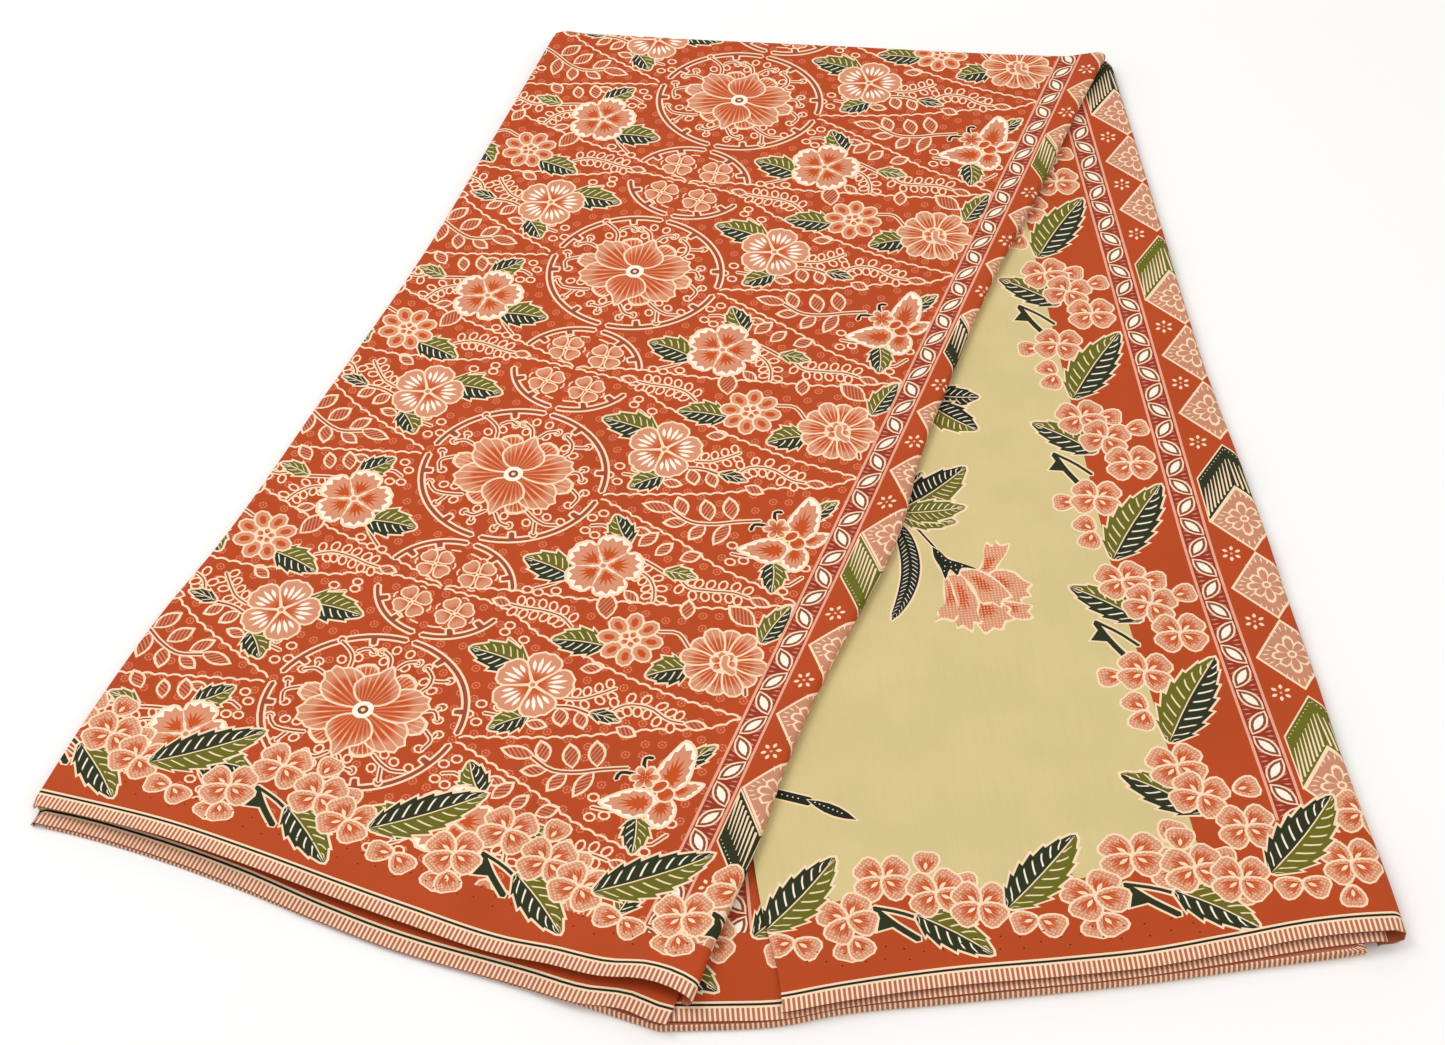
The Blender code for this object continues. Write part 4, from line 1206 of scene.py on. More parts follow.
@dataclass
class Panel:
    """One layer of the cloth as a thin closed shell that carries its print."""

    name: str
    cloth: Print = field(default_factory=Print)
    step: float = 9.0
    ground: tuple[Ink, Ink, Shade] = (Ink.GROUND, Ink.GROUND, Shade.PLAIN)

    def middle(self, a: Array, b: Array) -> Array:
        """Return the wall's middle at flat points, in m."""
        raise NotImplementedError

    def outline(self) -> Array:
        """Return the flat outline in mm."""
        raise NotImplementedError

    def fold_lines(self) -> list[Array]:
        """Return the lines that the mesh follows round a fold, in mm."""
        return []

    def surface(self, flat: Array) -> tuple[Array, Array]:
        """Return points of the top and their normals, for flat points in mm."""
        a, b = flat[:, 0] * MM, flat[:, 1] * MM
        h = 0.25 * MM
        across = self.middle(a + h, b) - self.middle(a - h, b)
        along = self.middle(a, b + h) - self.middle(a, b - h)
        normal = np.cross(across, along)
        size = np.linalg.norm(normal, axis=1, keepdims=True)
        normal = np.where(size > 1e-14, normal / np.maximum(size, 1e-14), np.array([0.0, 0.0, 1.0]))
        return self.middle(a, b) + normal * (WALL / 2), normal

    def grid(self, step: float) -> Array:
        """Return inner points of the flat cloth, a step apart."""
        ring = self.outline()
        corners = zip(ring.min(axis=0), ring.max(axis=0))
        xs, ys = (np.arange(low + step / 2, high, step) for low, high in corners)
        points = np.array([(x + 0.01 * y / step, y) for x in xs for y in ys])
        return points[inside(points, ring)]

    def build(self, material: Material) -> Piece:
        """Triangulate the print, drape it and close the shell.

        Args:
            material: The cloth's material.

        Returns:
            The finished piece.
        """
        flat, triangles, owner = self.printed()
        top, normal = self.surface(flat)
        rim = border(triangles)
        under_flat, under_faces = self.under_side(flat[rim])
        under_top, under_normal = self.surface(under_flat)
        rim_low = len(top) + np.arange(len(rim))
        following = np.roll(np.arange(len(rim)), -1)
        walls = [(rim[k], rim_low[k], rim_low[n]) for k, n in enumerate(following)]
        walls += [(rim[k], rim_low[n], rim[n]) for k, n in enumerate(following)]
        faces = np.concatenate([triangles, under_faces[:, ::-1] + len(top), np.array(walls)])
        vertices = np.concatenate([top, under_top - under_normal * SHELL]) + np.array(CENTRE_SHIFT)
        plain = len(faces) - len(triangles)
        piece = make_mesh(self.name, vertices, faces, material)
        owner = np.concatenate([owner, np.zeros(plain, int)])
        self.dye(piece, np.concatenate([flat, under_flat]), faces, owner, plain)
        normals = np.concatenate([normal, -under_normal])
        piece.data.normals_split_custom_set_from_vertices([Vector(n) for n in normals.tolist()])
        LOG.info("%s: %d printed shapes, %d triangles", self.name, len(self.cloth.patches), len(faces))
        return piece

    def printed(self) -> tuple[Array, Array, Array]:
        """Triangulate the flat cloth along its print and folds.

        Returns:
            The points, the triangles and the number of each triangle's shape, 0 for the ground.
        """
        ring = self.outline()
        points = [ring, self.grid(self.step)]
        faces = [list(range(len(ring)))]
        edges: list[tuple[int, int]] = []
        start = len(ring) + len(points[1])
        patches = [patch for patch in self.cloth.patches if inside(patch.outline, ring).any()]
        self.cloth.patches = patches
        for line in self.fold_lines():
            points.append(line)
            edges += [(start + k, start + k + 1) for k in range(len(line) - 1)]
            start += len(line)
        for patch in patches:
            points.append(patch.outline)
            faces.append(list(range(start, start + len(patch.outline))))
            start += len(patch.outline)
        found = triangulate(np.concatenate(points), edges, faces, 0.02)
        flat = np.array(found[0], float)
        triangles = np.array([face for face, owners in zip(found[2], found[5]) if 0 in owners])
        holders = [owners for owners in found[5] if 0 in owners]
        middle = flat[triangles].mean(axis=1)
        boxes = np.array([np.concatenate([p.outline.min(axis=0), -p.outline.max(axis=0)]) for p in patches])
        boxes = (boxes - 0.05).tolist()
        places = np.hstack([middle, -middle]).tolist()
        owner = np.array([self.topmost(owners, place, boxes) for owners, place in zip(holders, places)])
        used, triangles = np.unique(triangles, return_inverse=True)
        flat = flat[used]
        return flat, face_up(flat, triangles.reshape(-1, 3)), owner

    def topmost(self, owners: Sequence[int], place: Sequence[float], boxes: Sequence[Sequence[float]]) -> int:
        """Return the last shape over a place, 0 for the ground; boxes hold low and negated high corners."""
        for k in sorted(owners, reverse=True):
            if k and all(at >= low for at, low in zip(place, boxes[k - 1])):
                return k
        return 0

    def under_side(self, rim: Array) -> tuple[Array, Array]:
        """Triangulate the underside, coarsely, inside the top's own rim."""
        inner = self.grid(self.step * 1.5)
        inner = inner[room_in(inner, rim) > 3.0] if len(inner) else inner
        points = np.concatenate([rim, inner, *(line[1:-1] for line in self.fold_lines())])
        found = triangulate(points, [], [list(range(len(rim)))], 1e-5)
        flat = [tuple(p) for p in rim]
        index = []
        for place, origins in zip(found[0], found[3]):
            on_rim = [origin for origin in origins if origin < len(rim)]
            index.append(on_rim[-1] if on_rim else len(flat))
            if not on_rim:
                flat.append(tuple(place))
        kept = (face for face, owners in zip(found[2], found[5]) if 0 in owners)
        faces = np.array([[index[i] for i in face] for face in kept])
        return np.array(flat), face_up(np.array(flat), faces)

    def dye(self, piece: Piece, flats: Array, faces: Array, owner: Array, plain: int) -> None:
        """Write each corner's two inks and its place in its motif.

        Args:
            piece: The finished mesh.
            flats: Where its points lie on the flat cloth.
            faces: Its faces.
            owner: The number of each face's shape.
            plain: How many faces at the end have no print.
        """
        bare = Patch(np.zeros((0, 2)), *self.ground, np.eye(2), np.zeros(2))
        every = [bare, *self.cloth.patches]
        first = np.array([p.ink.linear() for p in every])
        second = np.array([p.second.linear() for p in every])
        shade = np.array([int(p.shade) for p in every], float)
        matrix = np.array([p.to_local for p in every])
        origin = np.array([p.origin for p in every])
        who = np.repeat(owner, 3)
        local = np.einsum("nij,nj->ni", matrix[who], flats[faces.reshape(-1)] - origin[who])
        order = np.argsort(who, kind="stable")
        starts = np.searchsorted(who[order], np.arange(len(every) + 1))
        for k, patch in enumerate(every):
            if patch.warp and starts[k + 1] > starts[k]:
                rows = order[starts[k] : starts[k + 1]]
                local[rows] = patch.warp(local[rows])
        worn = np.repeat(np.arange(len(faces)) >= len(faces) - plain, 3)
        fade = np.where(worn, 0.35, 0.0)[:, None]
        colours = first[who] * (1 - fade) + np.array(Ink.SALMON.linear()) * fade
        write(piece, colours, second[who], np.column_stack([local, shade[who]]))


def triangulate(points: Array, edges: list, faces: list, tolerance: float) -> Sequence:
    """Return the flat triangulation of points: places, edges, faces and what each came from."""
    return delaunay_2d_cdt([Vector(p) for p in points.tolist()], edges, faces, 1, tolerance, True)


def face_up(points: Array, faces: Array) -> Array:
    """Return flat triangles turned counter-clockwise."""
    a, b, c = (points[faces[:, k]] for k in range(3))
    area = (b[:, 0] - a[:, 0]) * (c[:, 1] - a[:, 1]) - (b[:, 1] - a[:, 1]) * (c[:, 0] - a[:, 0])
    return np.where(area[:, None] < 0, faces[:, ::-1], faces)


def write(piece: Piece, first: Array, second: Array, motif: Array) -> None:
    """Store two inks and a place in a motif for each corner of a piece."""
    one = np.ones((len(motif), 1))
    for name, kind, key, values in (
        ("ink", "FLOAT_COLOR", "color", np.hstack([first, one])),
        ("second_ink", "FLOAT_COLOR", "color", np.hstack([second, one])),
        ("motif", "FLOAT_VECTOR", "vector", motif),
    ):
        attribute = piece.data.attributes.new(name, kind, "CORNER")
        attribute.data.foreach_set(key, values.astype(np.float32).ravel())


def make_mesh(name: str, points: Array, faces: Array, material: Material) -> Piece:
    """Add a smooth mesh object of triangles."""
    mesh = bpy.data.meshes.new(name)
    mesh.from_pydata(points.tolist(), [], faces.tolist())
    mesh.materials.append(material)
    mesh.shade_smooth()
    piece = bpy.data.objects.new(name, mesh)
    bpy.context.scene.collection.objects.link(piece)
    return piece


def border(triangles: Array) -> Array:
    """Return the outer loop of a triangulated disc, in order."""
    sides = {(tri[k], tri[(k + 1) % 3]): None for tri in triangles.tolist() for k in range(3)}
    following = {a: b for a, b in sides if (b, a) not in sides}
    loop = [next(iter(following))]
    while following[loop[-1]] != loop[0]:
        loop.append(following[loop[-1]])
    return np.array(loop)


def inside(points: Array, ring: Array) -> Array:
    """Return which points lie inside a closed outline."""
    a, b = ring, np.roll(ring, -1, axis=0)
    x, y = points[:, :1], points[:, 1:2]
    crosses = (a[:, 1] > y) != (b[:, 1] > y)
    rise = np.where(b[:, 1] == a[:, 1], 1.0, b[:, 1] - a[:, 1])
    at = a[:, 0] + (y - a[:, 1]) * (b[:, 0] - a[:, 0]) / rise
    return np.count_nonzero(crosses & (at > x), axis=1) % 2 == 1


def room_in(points: Array, ring: Array) -> Array:
    """Return each point's distance to the nearest side of an outline."""
    start, side = ring, np.roll(ring, -1, axis=0) - ring
    length = np.maximum((side * side).sum(axis=1), 1e-12)
    nearest = np.empty(len(points))
    for k, point in enumerate(points):
        share = np.clip(((point - start) * side).sum(axis=1) / length, 0, 1)
        nearest[k] = np.linalg.norm(start + side * share[:, None] - point, axis=1).min()
    return nearest


def rolled(past: Array, radius: Array, back: float) -> tuple[Array, Array]:
    """Return how far out and down a rolled side lies, at a place past its start along the cloth."""
    run = np.clip(past, 0, radius * math.pi + back)
    bent = np.minimum(run / radius, math.pi)
    return radius * np.sin(bent) - (run - bent * radius), radius * (1 - np.cos(bent))


def line_up(at: Array, along: Array) -> Array:
    """Return points of a line along the cloth, in mm, from metres."""
    return np.column_stack([at, along]) / MM


@dataclass
class TopPanel(Panel):
    """The left stack's top layer: folds at both sides, a drop at its far end."""

    ground: tuple[Ink, Ink, Shade] = (Ink.GROUND, Ink.DOT_RED, Shade.SWIRLS)
    left_angle: float = math.radians(155)
    right_angle: float = math.radians(180)
    left_opening: float = 0.38
    right_opening: float = 0.47
    opens_at: float = 0.86
    near_end: float = -0.06
    near_radius: float = 3.4 * MM
    far_arc: float = 12.0 * MM
    far_clip: Pair = (-0.185, 0.28)
    left_rows: Reach = (-0.134, 0.70, 90)
    right_rows: Reach = (-0.134, 0.79, 96)
    near_count: int = 56
    far_count: int = 50
    near_ends: Pair = (-0.172, 0.288)
    far_ends: Pair = (0.278, -0.178)
    left_lines: Reach = (-0.1285, 0.69, 96)
    right_lines: Reach = (-0.1285, 0.782, 110)
    far_lines: Reach = (-0.165, 0.262, 50)
    left_shares: Row = (0.02, 0.22, 0.42, 0.62, 0.82)
    right_shares: Row = (0.02, 0.16, 0.30, 0.44, 0.58, 0.72, 0.86)
    far_shares: Row = (0.02, 0.25, 0.5, 0.75)

    def near(self, u: Array) -> Array:
        """Return the selvedge's v."""
        return table(TOP_SELVEDGE, u)

    def far(self, u: Array) -> Array:
        """Return where the far drop starts."""
        return table(TOP_FAR_FOLD, u) - FAR_INSET

    def left(self, v: Array) -> Array:
        """Return where the left roll starts."""
        return table(TOP_LEFT_FOLD, v) + WALL / 2 + TOP_LEFT_LIFT / 2

    def right(self, v: Array) -> Array:
        """Return where the right roll starts."""
        return table(TOP_RIGHT_FOLD, v) - WALL / 2 - (TOP_RIGHT_LIFT + PITCH) / 2

    def roll(self, u: Array, v: Array, z: Array, right: bool) -> tuple[Array, float, Array, Array]:
        """Return a side roll's radius, its full angle, the share of it that is bent and its flat end."""
        opened = smooth(self.opens_at, 1.0, (v - self.near(u)) / (self.far(u) - self.near(u)))
        if right:
            near_low = np.where(v > self.near_end, SECOND_HIGH, z - 2 * self.near_radius)
            low = np.maximum(near_low, SECOND_HIGH)
            back = ROLL_RETURN + (ROLL_RETURN_END - ROLL_RETURN) * opened
            rest = self.right_angle, 1 - self.right_opening * opened, back
        else:
            low = second_height(u, v) + PITCH
            rest = self.left_angle, 1 - self.left_opening * opened, np.zeros_like(opened)
        return np.maximum((z - low) / 2, 1.0 * MM), *rest

    def side_section(self, roll: tuple[Array, float, Array, Array], share: Array) -> tuple[Array, Array]:
        """Return how far out and down a roll's section lies at a share of its length."""
        radius, full, turn, back = roll
        angle = full * turn
        run = np.clip(share, 0, 1) * (radius * angle + back)
        bent = np.minimum(run / radius, angle)
        rest = run - bent * radius
        out = radius * np.sin(bent) + rest * np.cos(angle)
        return out, radius * (1 - np.cos(bent)) + rest * np.sin(angle)

    def side_length(self, v: Array, right: bool) -> Array:
        """Return a side roll's flat length."""
        u = self.right(v) if right else self.left(v)
        radius, full, turn, back = self.roll(u, v, top_height(u, v, self.left(v), self.right(v)), right)
        return radius * full * turn + back

    def middle(self, a: Array, b: Array) -> Array:
        """Return the wall's middle at flat u and v."""
        far_in = self.far(np.clip(a, *self.far_clip))
        v = np.minimum(b, far_in)
        left, right = self.left(v), self.right(v)
        u = np.clip(a, left, right)
        z = top_height(u, v, left, right)
        x, y = to_plan(u, v)
        beta = np.clip((b - far_in) / self.far_arc, 0, 1)
        alpha_left = np.clip((left - a) / self.side_length(v, False), 0, 1)
        alpha_right = np.clip((a - right) / self.side_length(v, True), 0, 1)
        alpha = np.maximum(alpha_left, alpha_right)
        square_a = alpha * np.sqrt(1 - beta**2 / 2)
        square_b = beta * np.sqrt(1 - alpha**2 / 2)
        rho = np.minimum(np.hypot(square_a, square_b), 1.0)
        phi = np.arctan2(square_b, np.maximum(square_a, 1e-12))
        on_right = alpha_right >= alpha_left
        left_side, right_side = (self.side_section(self.roll(u, v, z, side), rho) for side in (False, True))
        out, drop = (np.where(on_right, b, a) for a, b in zip(left_side, right_side))
        share = np.sin(phi) ** 2
        out = out + (DROP_OUT * np.sin(rho * math.pi / 2) - out) * share
        drop = drop + ((z - DROP_Z) * (1 - np.cos(rho * math.pi / 2)) - drop) * share
        c, s = math.cos(LEFT_TURN), math.sin(LEFT_TURN)
        sign = np.where(on_right, 1.0, -1.0)
        side_way = np.stack([c * sign, -s * sign], axis=-1)
        along = np.array(FAR_LINE[-1]) - FAR_LINE[0]
        far_way = np.array([-along[1], along[0]])
        far_way /= np.linalg.norm(far_way)
        way = side_way * np.cos(phi)[..., None] + far_way * np.sin(phi)[..., None]
        way /= np.maximum(np.linalg.norm(way, axis=-1, keepdims=True), 1e-9)
        return np.stack([x + way[..., 0] * out, y + way[..., 1] * out, z - drop], axis=-1)

    def outline(self) -> Array:
        """Return the flat outline in mm, counter-clockwise from the near left."""
        v = np.linspace(*self.left_rows)
        left = np.column_stack([self.left(v) - self.side_length(v, False), v])[::-1]
        v = np.linspace(*self.right_rows)
        right = np.column_stack([self.right(v) + self.side_length(v, True), v])
        u = np.linspace(float(left[-1, 0]), float(right[0, 0]), self.near_count)
        near = np.column_stack([u, self.near(np.clip(u, *self.near_ends))])
        ends = [self.far(np.array(at)) + self.far_arc for at in self.far_ends]
        right = between(right, near[-1, 1] + CORNER_ROOM, ends[0] - CORNER_ROOM)
        left = between(left, near[0, 1] + CORNER_ROOM, ends[1] - CORNER_ROOM)
        u = np.linspace(float(right[-1, 0]), float(left[0, 0]), self.far_count)
        far = np.column_stack([u, self.far(u) + self.far_arc])
        return np.concatenate([near, right, far, left]) / MM

    def fold_lines(self) -> list[Array]:
        """Return lines along both rolls and across the far drop."""
        v = np.linspace(*self.right_lines)
        lines = [line_up(self.right(v) + self.side_length(v, True) * share, v) for share in self.right_shares]
        v = np.linspace(*self.left_lines)
        lines += [line_up(self.left(v) - self.side_length(v, False) * share, v) for share in self.left_shares]
        u = np.linspace(*self.far_lines)
        return lines + [line_up(u, self.far(u) + self.far_arc * share) for share in self.far_shares]


def between(line: Array, low: float, high: float) -> Array:
    """Return the points of a line between two values of its second column."""
    return line[(line[:, 1] > low) & (line[:, 1] < high)]


@dataclass
class SecondPanel(Panel):
    """The left stack's second layer, rolled to the surface at its left."""

    step: float = 16.0
    inset: float = 1.5 * MM
    fold_u: float = -0.163
    least_radius: float = 0.9 * MM
    left_rows: Reach = (-0.136, 0.69, 60)
    right_rows: Reach = (-0.142, 0.772, 70)
    near_count: int = 60
    far_count: int = 24
    line_rows: Reach = (-0.132, 0.68, 70)
    shares: Row = (0.03, 0.2, 0.38, 0.56, 0.74, 0.9)

    def edge(self, v: Array) -> tuple[Array, Array]:
        """Return where the left roll starts and its radius."""
        height = second_height(np.full_like(v, self.fold_u), v)
        radius = np.maximum((height - WALL / 2) / 2, self.least_radius)
        return table(TOP_LEFT_FOLD, v) + WALL / 2 + self.inset + radius, radius

    def middle(self, a: Array, b: Array) -> Array:
        """Return the wall's middle at flat u and v."""
        left, radius = self.edge(b)
        u = np.maximum(a, left)
        z = second_height(u, b)
        z = z + (2 * radius + WALL / 2 - z) * (1 - smooth(0.0, 4 * MM, u - left))
        out, drop = rolled(left - a, radius, SECOND_RETURN)
        return np.stack([*to_plan(u - out, b), z - drop], axis=-1)

    def outline(self) -> Array:
        """Return the flat outline in mm."""
        v = np.linspace(*self.left_rows)
        start, radius = self.edge(v)
        left = np.column_stack([start - radius * math.pi - SECOND_RETURN, v])[::-1]
        v = np.linspace(*self.right_rows)
        right = np.column_stack([table(TOP_RIGHT_FOLD, v) - SECOND_INSET, v])
        u = np.linspace(float(left[-1, 0]), float(right[0, 0]), self.near_count)
        near = np.column_stack([u, table(SECOND_SELVEDGE, u)])
        u = np.linspace(float(right[-1, 0]), float(left[0, 0]), self.far_count)
        far = np.column_stack([u, table(TOP_FAR_FOLD, u) - FAR_INSET - 2 * MM])
        left = between(left, near[0, 1] + CORNER_ROOM, far[-1, 1] - FAR_ROOM)
        right = between(right, near[-1, 1] + CORNER_ROOM, far[0, 1] - FAR_ROOM)
        return np.concatenate([near, right, far, left]) / MM

    def fold_lines(self) -> list[Array]:
        """Return lines along the left roll."""
        v = np.linspace(*self.line_rows)
        left, radius = self.edge(v)
        return [line_up(left - radius * math.pi * share, v) for share in self.shares]


@dataclass
class RightPanel(Panel):
    """A layer of the right stack, rolled under at its right.

    Its sides and lines are drawn from the near side, but for the left side's.
    """

    selvedge: tuple[Row, ...] = HEAD_SELVEDGE
    inset: float = WALL / 2
    back: float = HEAD_RETURN
    floor: float = WALL / 2
    rolls_at: float = 0.397
    levelled: bool = True
    right_rows: Reach = (-0.462, 0.36, 90)
    left_x: Pair = (0.0476, 0.040)
    far_count: int = 36
    far_inset: float = 4 * MM
    left_rows: Reach = (0.44, -0.474, 80)
    line_rows: Reach = (-0.460, 0.355, 96)
    shares: Row = (0.02, 0.14, 0.27, 0.40, 0.53, 0.66, 0.8, 0.93)

    def height(self, x: Array, y: Array) -> Array:
        """Return the wall's middle before its roll."""
        return head_height(x, y)

    def left_side(self, y: Array) -> Array:
        """Return the left side's X."""
        return table(HEAD_LEFT_EDGE, y)

    def edge(self, y: Array) -> tuple[Array, Array]:
        """Return where the right roll starts and its radius."""
        radius = (self.height(np.full_like(y, self.rolls_at), y) - self.floor) / 2
        return table(HEAD_RIGHT_FOLD, y) - self.inset - radius, radius

    def middle(self, a: Array, b: Array) -> Array:
        """Return the wall's middle at flat X and Y."""
        right, radius = self.edge(b)
        x = np.minimum(a, right)
        z = self.height(x, b)
        if self.levelled:
            z = z + (2 * radius + WALL / 2 - z) * smooth(-4 * MM, 0, x - right)
        out, drop = rolled(a - right, radius, self.back)
        return np.stack([x + out, b, z - drop], axis=-1)

    def outline(self) -> Array:
        """Return the flat outline in mm."""
        y = np.linspace(*self.right_rows)
        right, radius = self.edge(y)
        right = np.column_stack([right + radius * math.pi + self.back, y])
        x = np.linspace(self.left_x[0], float(right[0, 0]), 60)
        near = np.column_stack([x, table(self.selvedge, x)])
        x = np.linspace(float(right[-1, 0]), self.left_x[1], self.far_count)
        far = np.column_stack([x, table(FAR_LINE, x) - self.far_inset])
        y = np.linspace(*self.left_rows)
        return np.concatenate([near, right[1:], far, np.column_stack([self.left_side(y), y])]) / MM

    def fold_lines(self) -> list[Array]:
        """Return lines along the right roll."""
        y = np.linspace(*self.line_rows)
        right, radius = self.edge(y)
        return [line_up(right + radius * math.pi * share, y) for share in self.shares]


@dataclass
class HeadPanel(RightPanel):
    """The head panel, from its cut end to its rolled right fold."""


@dataclass
class UnderPanel(RightPanel):
    """The layer under the head panel, with its own smaller loop."""

    step: float = 14.0
    selvedge: tuple[Row, ...] = UNDER_SELVEDGE
    inset: float = UNDER_INSET
    back: float = UNDER_RETURN
    floor: float = 3.3 * MM
    rolls_at: float = 0.38
    levelled: bool = False
    right_rows: Reach = (-0.466, 0.352, 70)
    left_x: Pair = (-0.030, -0.030)
    far_count: int = 24
    far_inset: float = UNDER_FAR_INSET
    left_rows: Reach = (0.45, -0.46, 30)
    line_rows: Reach = (-0.462, 0.346, 70)
    shares: Row = (0.03, 0.2, 0.38, 0.56, 0.74, 0.92)

    def height(self, x: Array, y: Array) -> Array:
        """Return the wall's middle before its roll."""
        return under_height(x, y)

    def left_side(self, y: Array) -> Array:
        """Return the left side's X."""
        return np.full_like(y, -0.030)


Feed = object  # a number, a tuple, a node's output or a Value
Group = tuple[Tree, Socket, Sequence[Socket]]
ROSETTE_HOPS = ((0.61, 0.29), (0.37, 0.83))  # how far a rosette strays across and along, by column and row


def feed(tree: Tree, value: Feed, socket: Socket) -> None:
    """Give an input a value, or link what is worked out elsewhere."""
    value = value.socket if isinstance(value, Value) else value
    if isinstance(value, Socket):
        tree.links.new(value, socket)
    else:
        socket.default_value = value


def add(tree: Tree, kind: str, inputs: dict[int | str, Feed], **settings: object) -> bpy.types.Node:
    """Add a node to a tree: its own settings first, then what feeds its inputs, by name or number."""
    node = tree.nodes.new(f"ShaderNode{kind}")
    for name, setting in settings.items():
        setattr(node, name, setting)
    for name, value in inputs.items():
        feed(tree, value, node.inputs[name])
    return node


@dataclass(frozen=True)
class Value:
    """A number that a tree works out; arithmetic on it adds Math nodes."""

    tree: Tree
    socket: Socket

    def do(self, operation: str, *others: Feed) -> "Value":
        """Add a Math node with this as its first input."""
        inputs = dict(enumerate((self, *others)))
        return Value(self.tree, add(self.tree, "Math", inputs, operation=operation).outputs[0])

    __add__ = partialmethod(do, "ADD")
    __sub__ = partialmethod(do, "SUBTRACT")
    __mul__ = partialmethod(do, "MULTIPLY")
    __truediv__ = partialmethod(do, "DIVIDE")
    __abs__ = partialmethod(do, "ABSOLUTE")
    rest = partialmethod(do, "FRACT")

    def comb(self) -> "Value":
        """Return 0.5 at whole numbers, falling evenly to 0 halfway between them."""
        return abs(self.rest() - 0.5)

    def ramp(self, low: float, high: float, start: float = 0.0, end: float = 1.0) -> "Value":
        """Return start below low and end above high, smooth between."""
        inputs = dict(enumerate((self, low, high, start, end)))
        node = add(self.tree, "MapRange", inputs, interpolation_type="SMOOTHSTEP")
        return Value(self.tree, node.outputs[0])


def noise(tree: Tree, vector: Feed, scale: float, detail: float) -> Value:
    """Add a Noise node and return its value."""
    return Value(tree, add(tree, "TexNoise", {"Scale": scale, "Detail": detail, "Vector": vector}).outputs[0])


def new_group(name: str, given: str, made: Sequence[str]) -> Group:
    """Make a shader node group from one vector to some numbers; return it and the sockets inside."""
    group = bpy.data.node_groups.new(name, "ShaderNodeTree")
    group.interface.new_socket(given, in_out="INPUT", socket_type="NodeSocketVector")
    for label in made:
        group.interface.new_socket(label, in_out="OUTPUT", socket_type="NodeSocketFloat")
    return group, group.nodes.new("NodeGroupInput").outputs[0], group.nodes.new("NodeGroupOutput").inputs


def swirl_mask(x: Value, y: Value) -> Value:
    """Return the mask of the tiny open rosettes strewn over the ground, from places in mm."""
    row = (y / 12.0).do("FLOOR")
    cell = x / 13.0 + (row * 0.37).rest()
    column = cell.do("FLOOR")
    hops = [((column * by_column + row * by_row).rest() - 0.5) * 4.4 for by_column, by_row in ROSETTE_HOPS]
    across = (cell.rest() - 0.5) * 13.0 + hops[0]
    along = ((y / 12.0).rest() - 0.5) * 12.0 + hops[1]
    reach = (across * across + along * along).do("SQRT")
    petals = (along.do("ARCTAN2", across) * 7.0).do("SINE") * 0.35 + 0.65
    ring = reach.ramp(1.7, 2.0) * reach.ramp(2.8, 3.1, 1.0, 0.0)
    return (ring * petals).do("MAXIMUM", reach.ramp(0.6, 0.9, 0.8, 0.0))


def motif_group() -> Tree:
    """Make the group that shades a motif's inside from its own x, y and kind."""
    group, motif, made = new_group("motif_shading", "Motif", ("Share", "Pale"))
    x, y, kind = (Value(group, output) for output in add(group, "SeparateXYZ", {0: motif}).outputs)
    wobble = (noise(group, motif, 3.0, 1.0) - 0.5) * 0.30
    ratio = y / (x + 0.12).do("MAXIMUM", 0.05)
    across = abs(y)
    comb = (ratio * 6.5).comb()
    dx, dy = ((at * 0.46).rest() - 0.5 for at in (x, y))
    slant = (x - across * (across * 0.6 + 1.0)).comb()
    halves = across.ramp(0.14, 0.22) * across.ramp(0.68, 0.80, 1.0, 0.0)
    zone = (x + abs(ratio) * 0.6 + wobble).ramp(0.68, 0.92, 1.0, 0.0) * x.ramp(0.10, 0.18)
    masks = {
        Shade.HEART: (x + wobble + (ratio * 7.0).comb() * 0.5).ramp(0.34, 0.72, 1.0, 0.0),
        Shade.DOTS: (dx * dx + dy * dy).do("SQRT").ramp(0.20, 0.34, 0.55, 0.0),
        Shade.VEINS: slant.ramp(0.06, 0.12, 1.0, 0.0) * halves,
        Shade.TICKS: x.comb().ramp(0.16, 0.27, 1.0, 0.0),
        Shade.HATCH: (x * 0.42).comb().ramp(0.14, 0.26, 0.9, 0.0),
        Shade.FIBRES: zone * comb.ramp(0.22, 0.40, 1.0, 0.35),
        Shade.SWIRLS: swirl_mask(x, y),
    }
    chosen = [kind.do("COMPARE", float(shade), 0.4) * mask for shade, mask in masks.items()]
    feed(group, sum(chosen[1:], chosen[0]).do("MINIMUM", 1.0), made["Share"])
    threads = comb.ramp(0.41, 0.47, 0.0, 0.75) * x.ramp(0.42, 0.56)
    feed(group, kind.do("COMPARE", float(Shade.FIBRES), 0.4) * threads, made["Pale"])
    return group


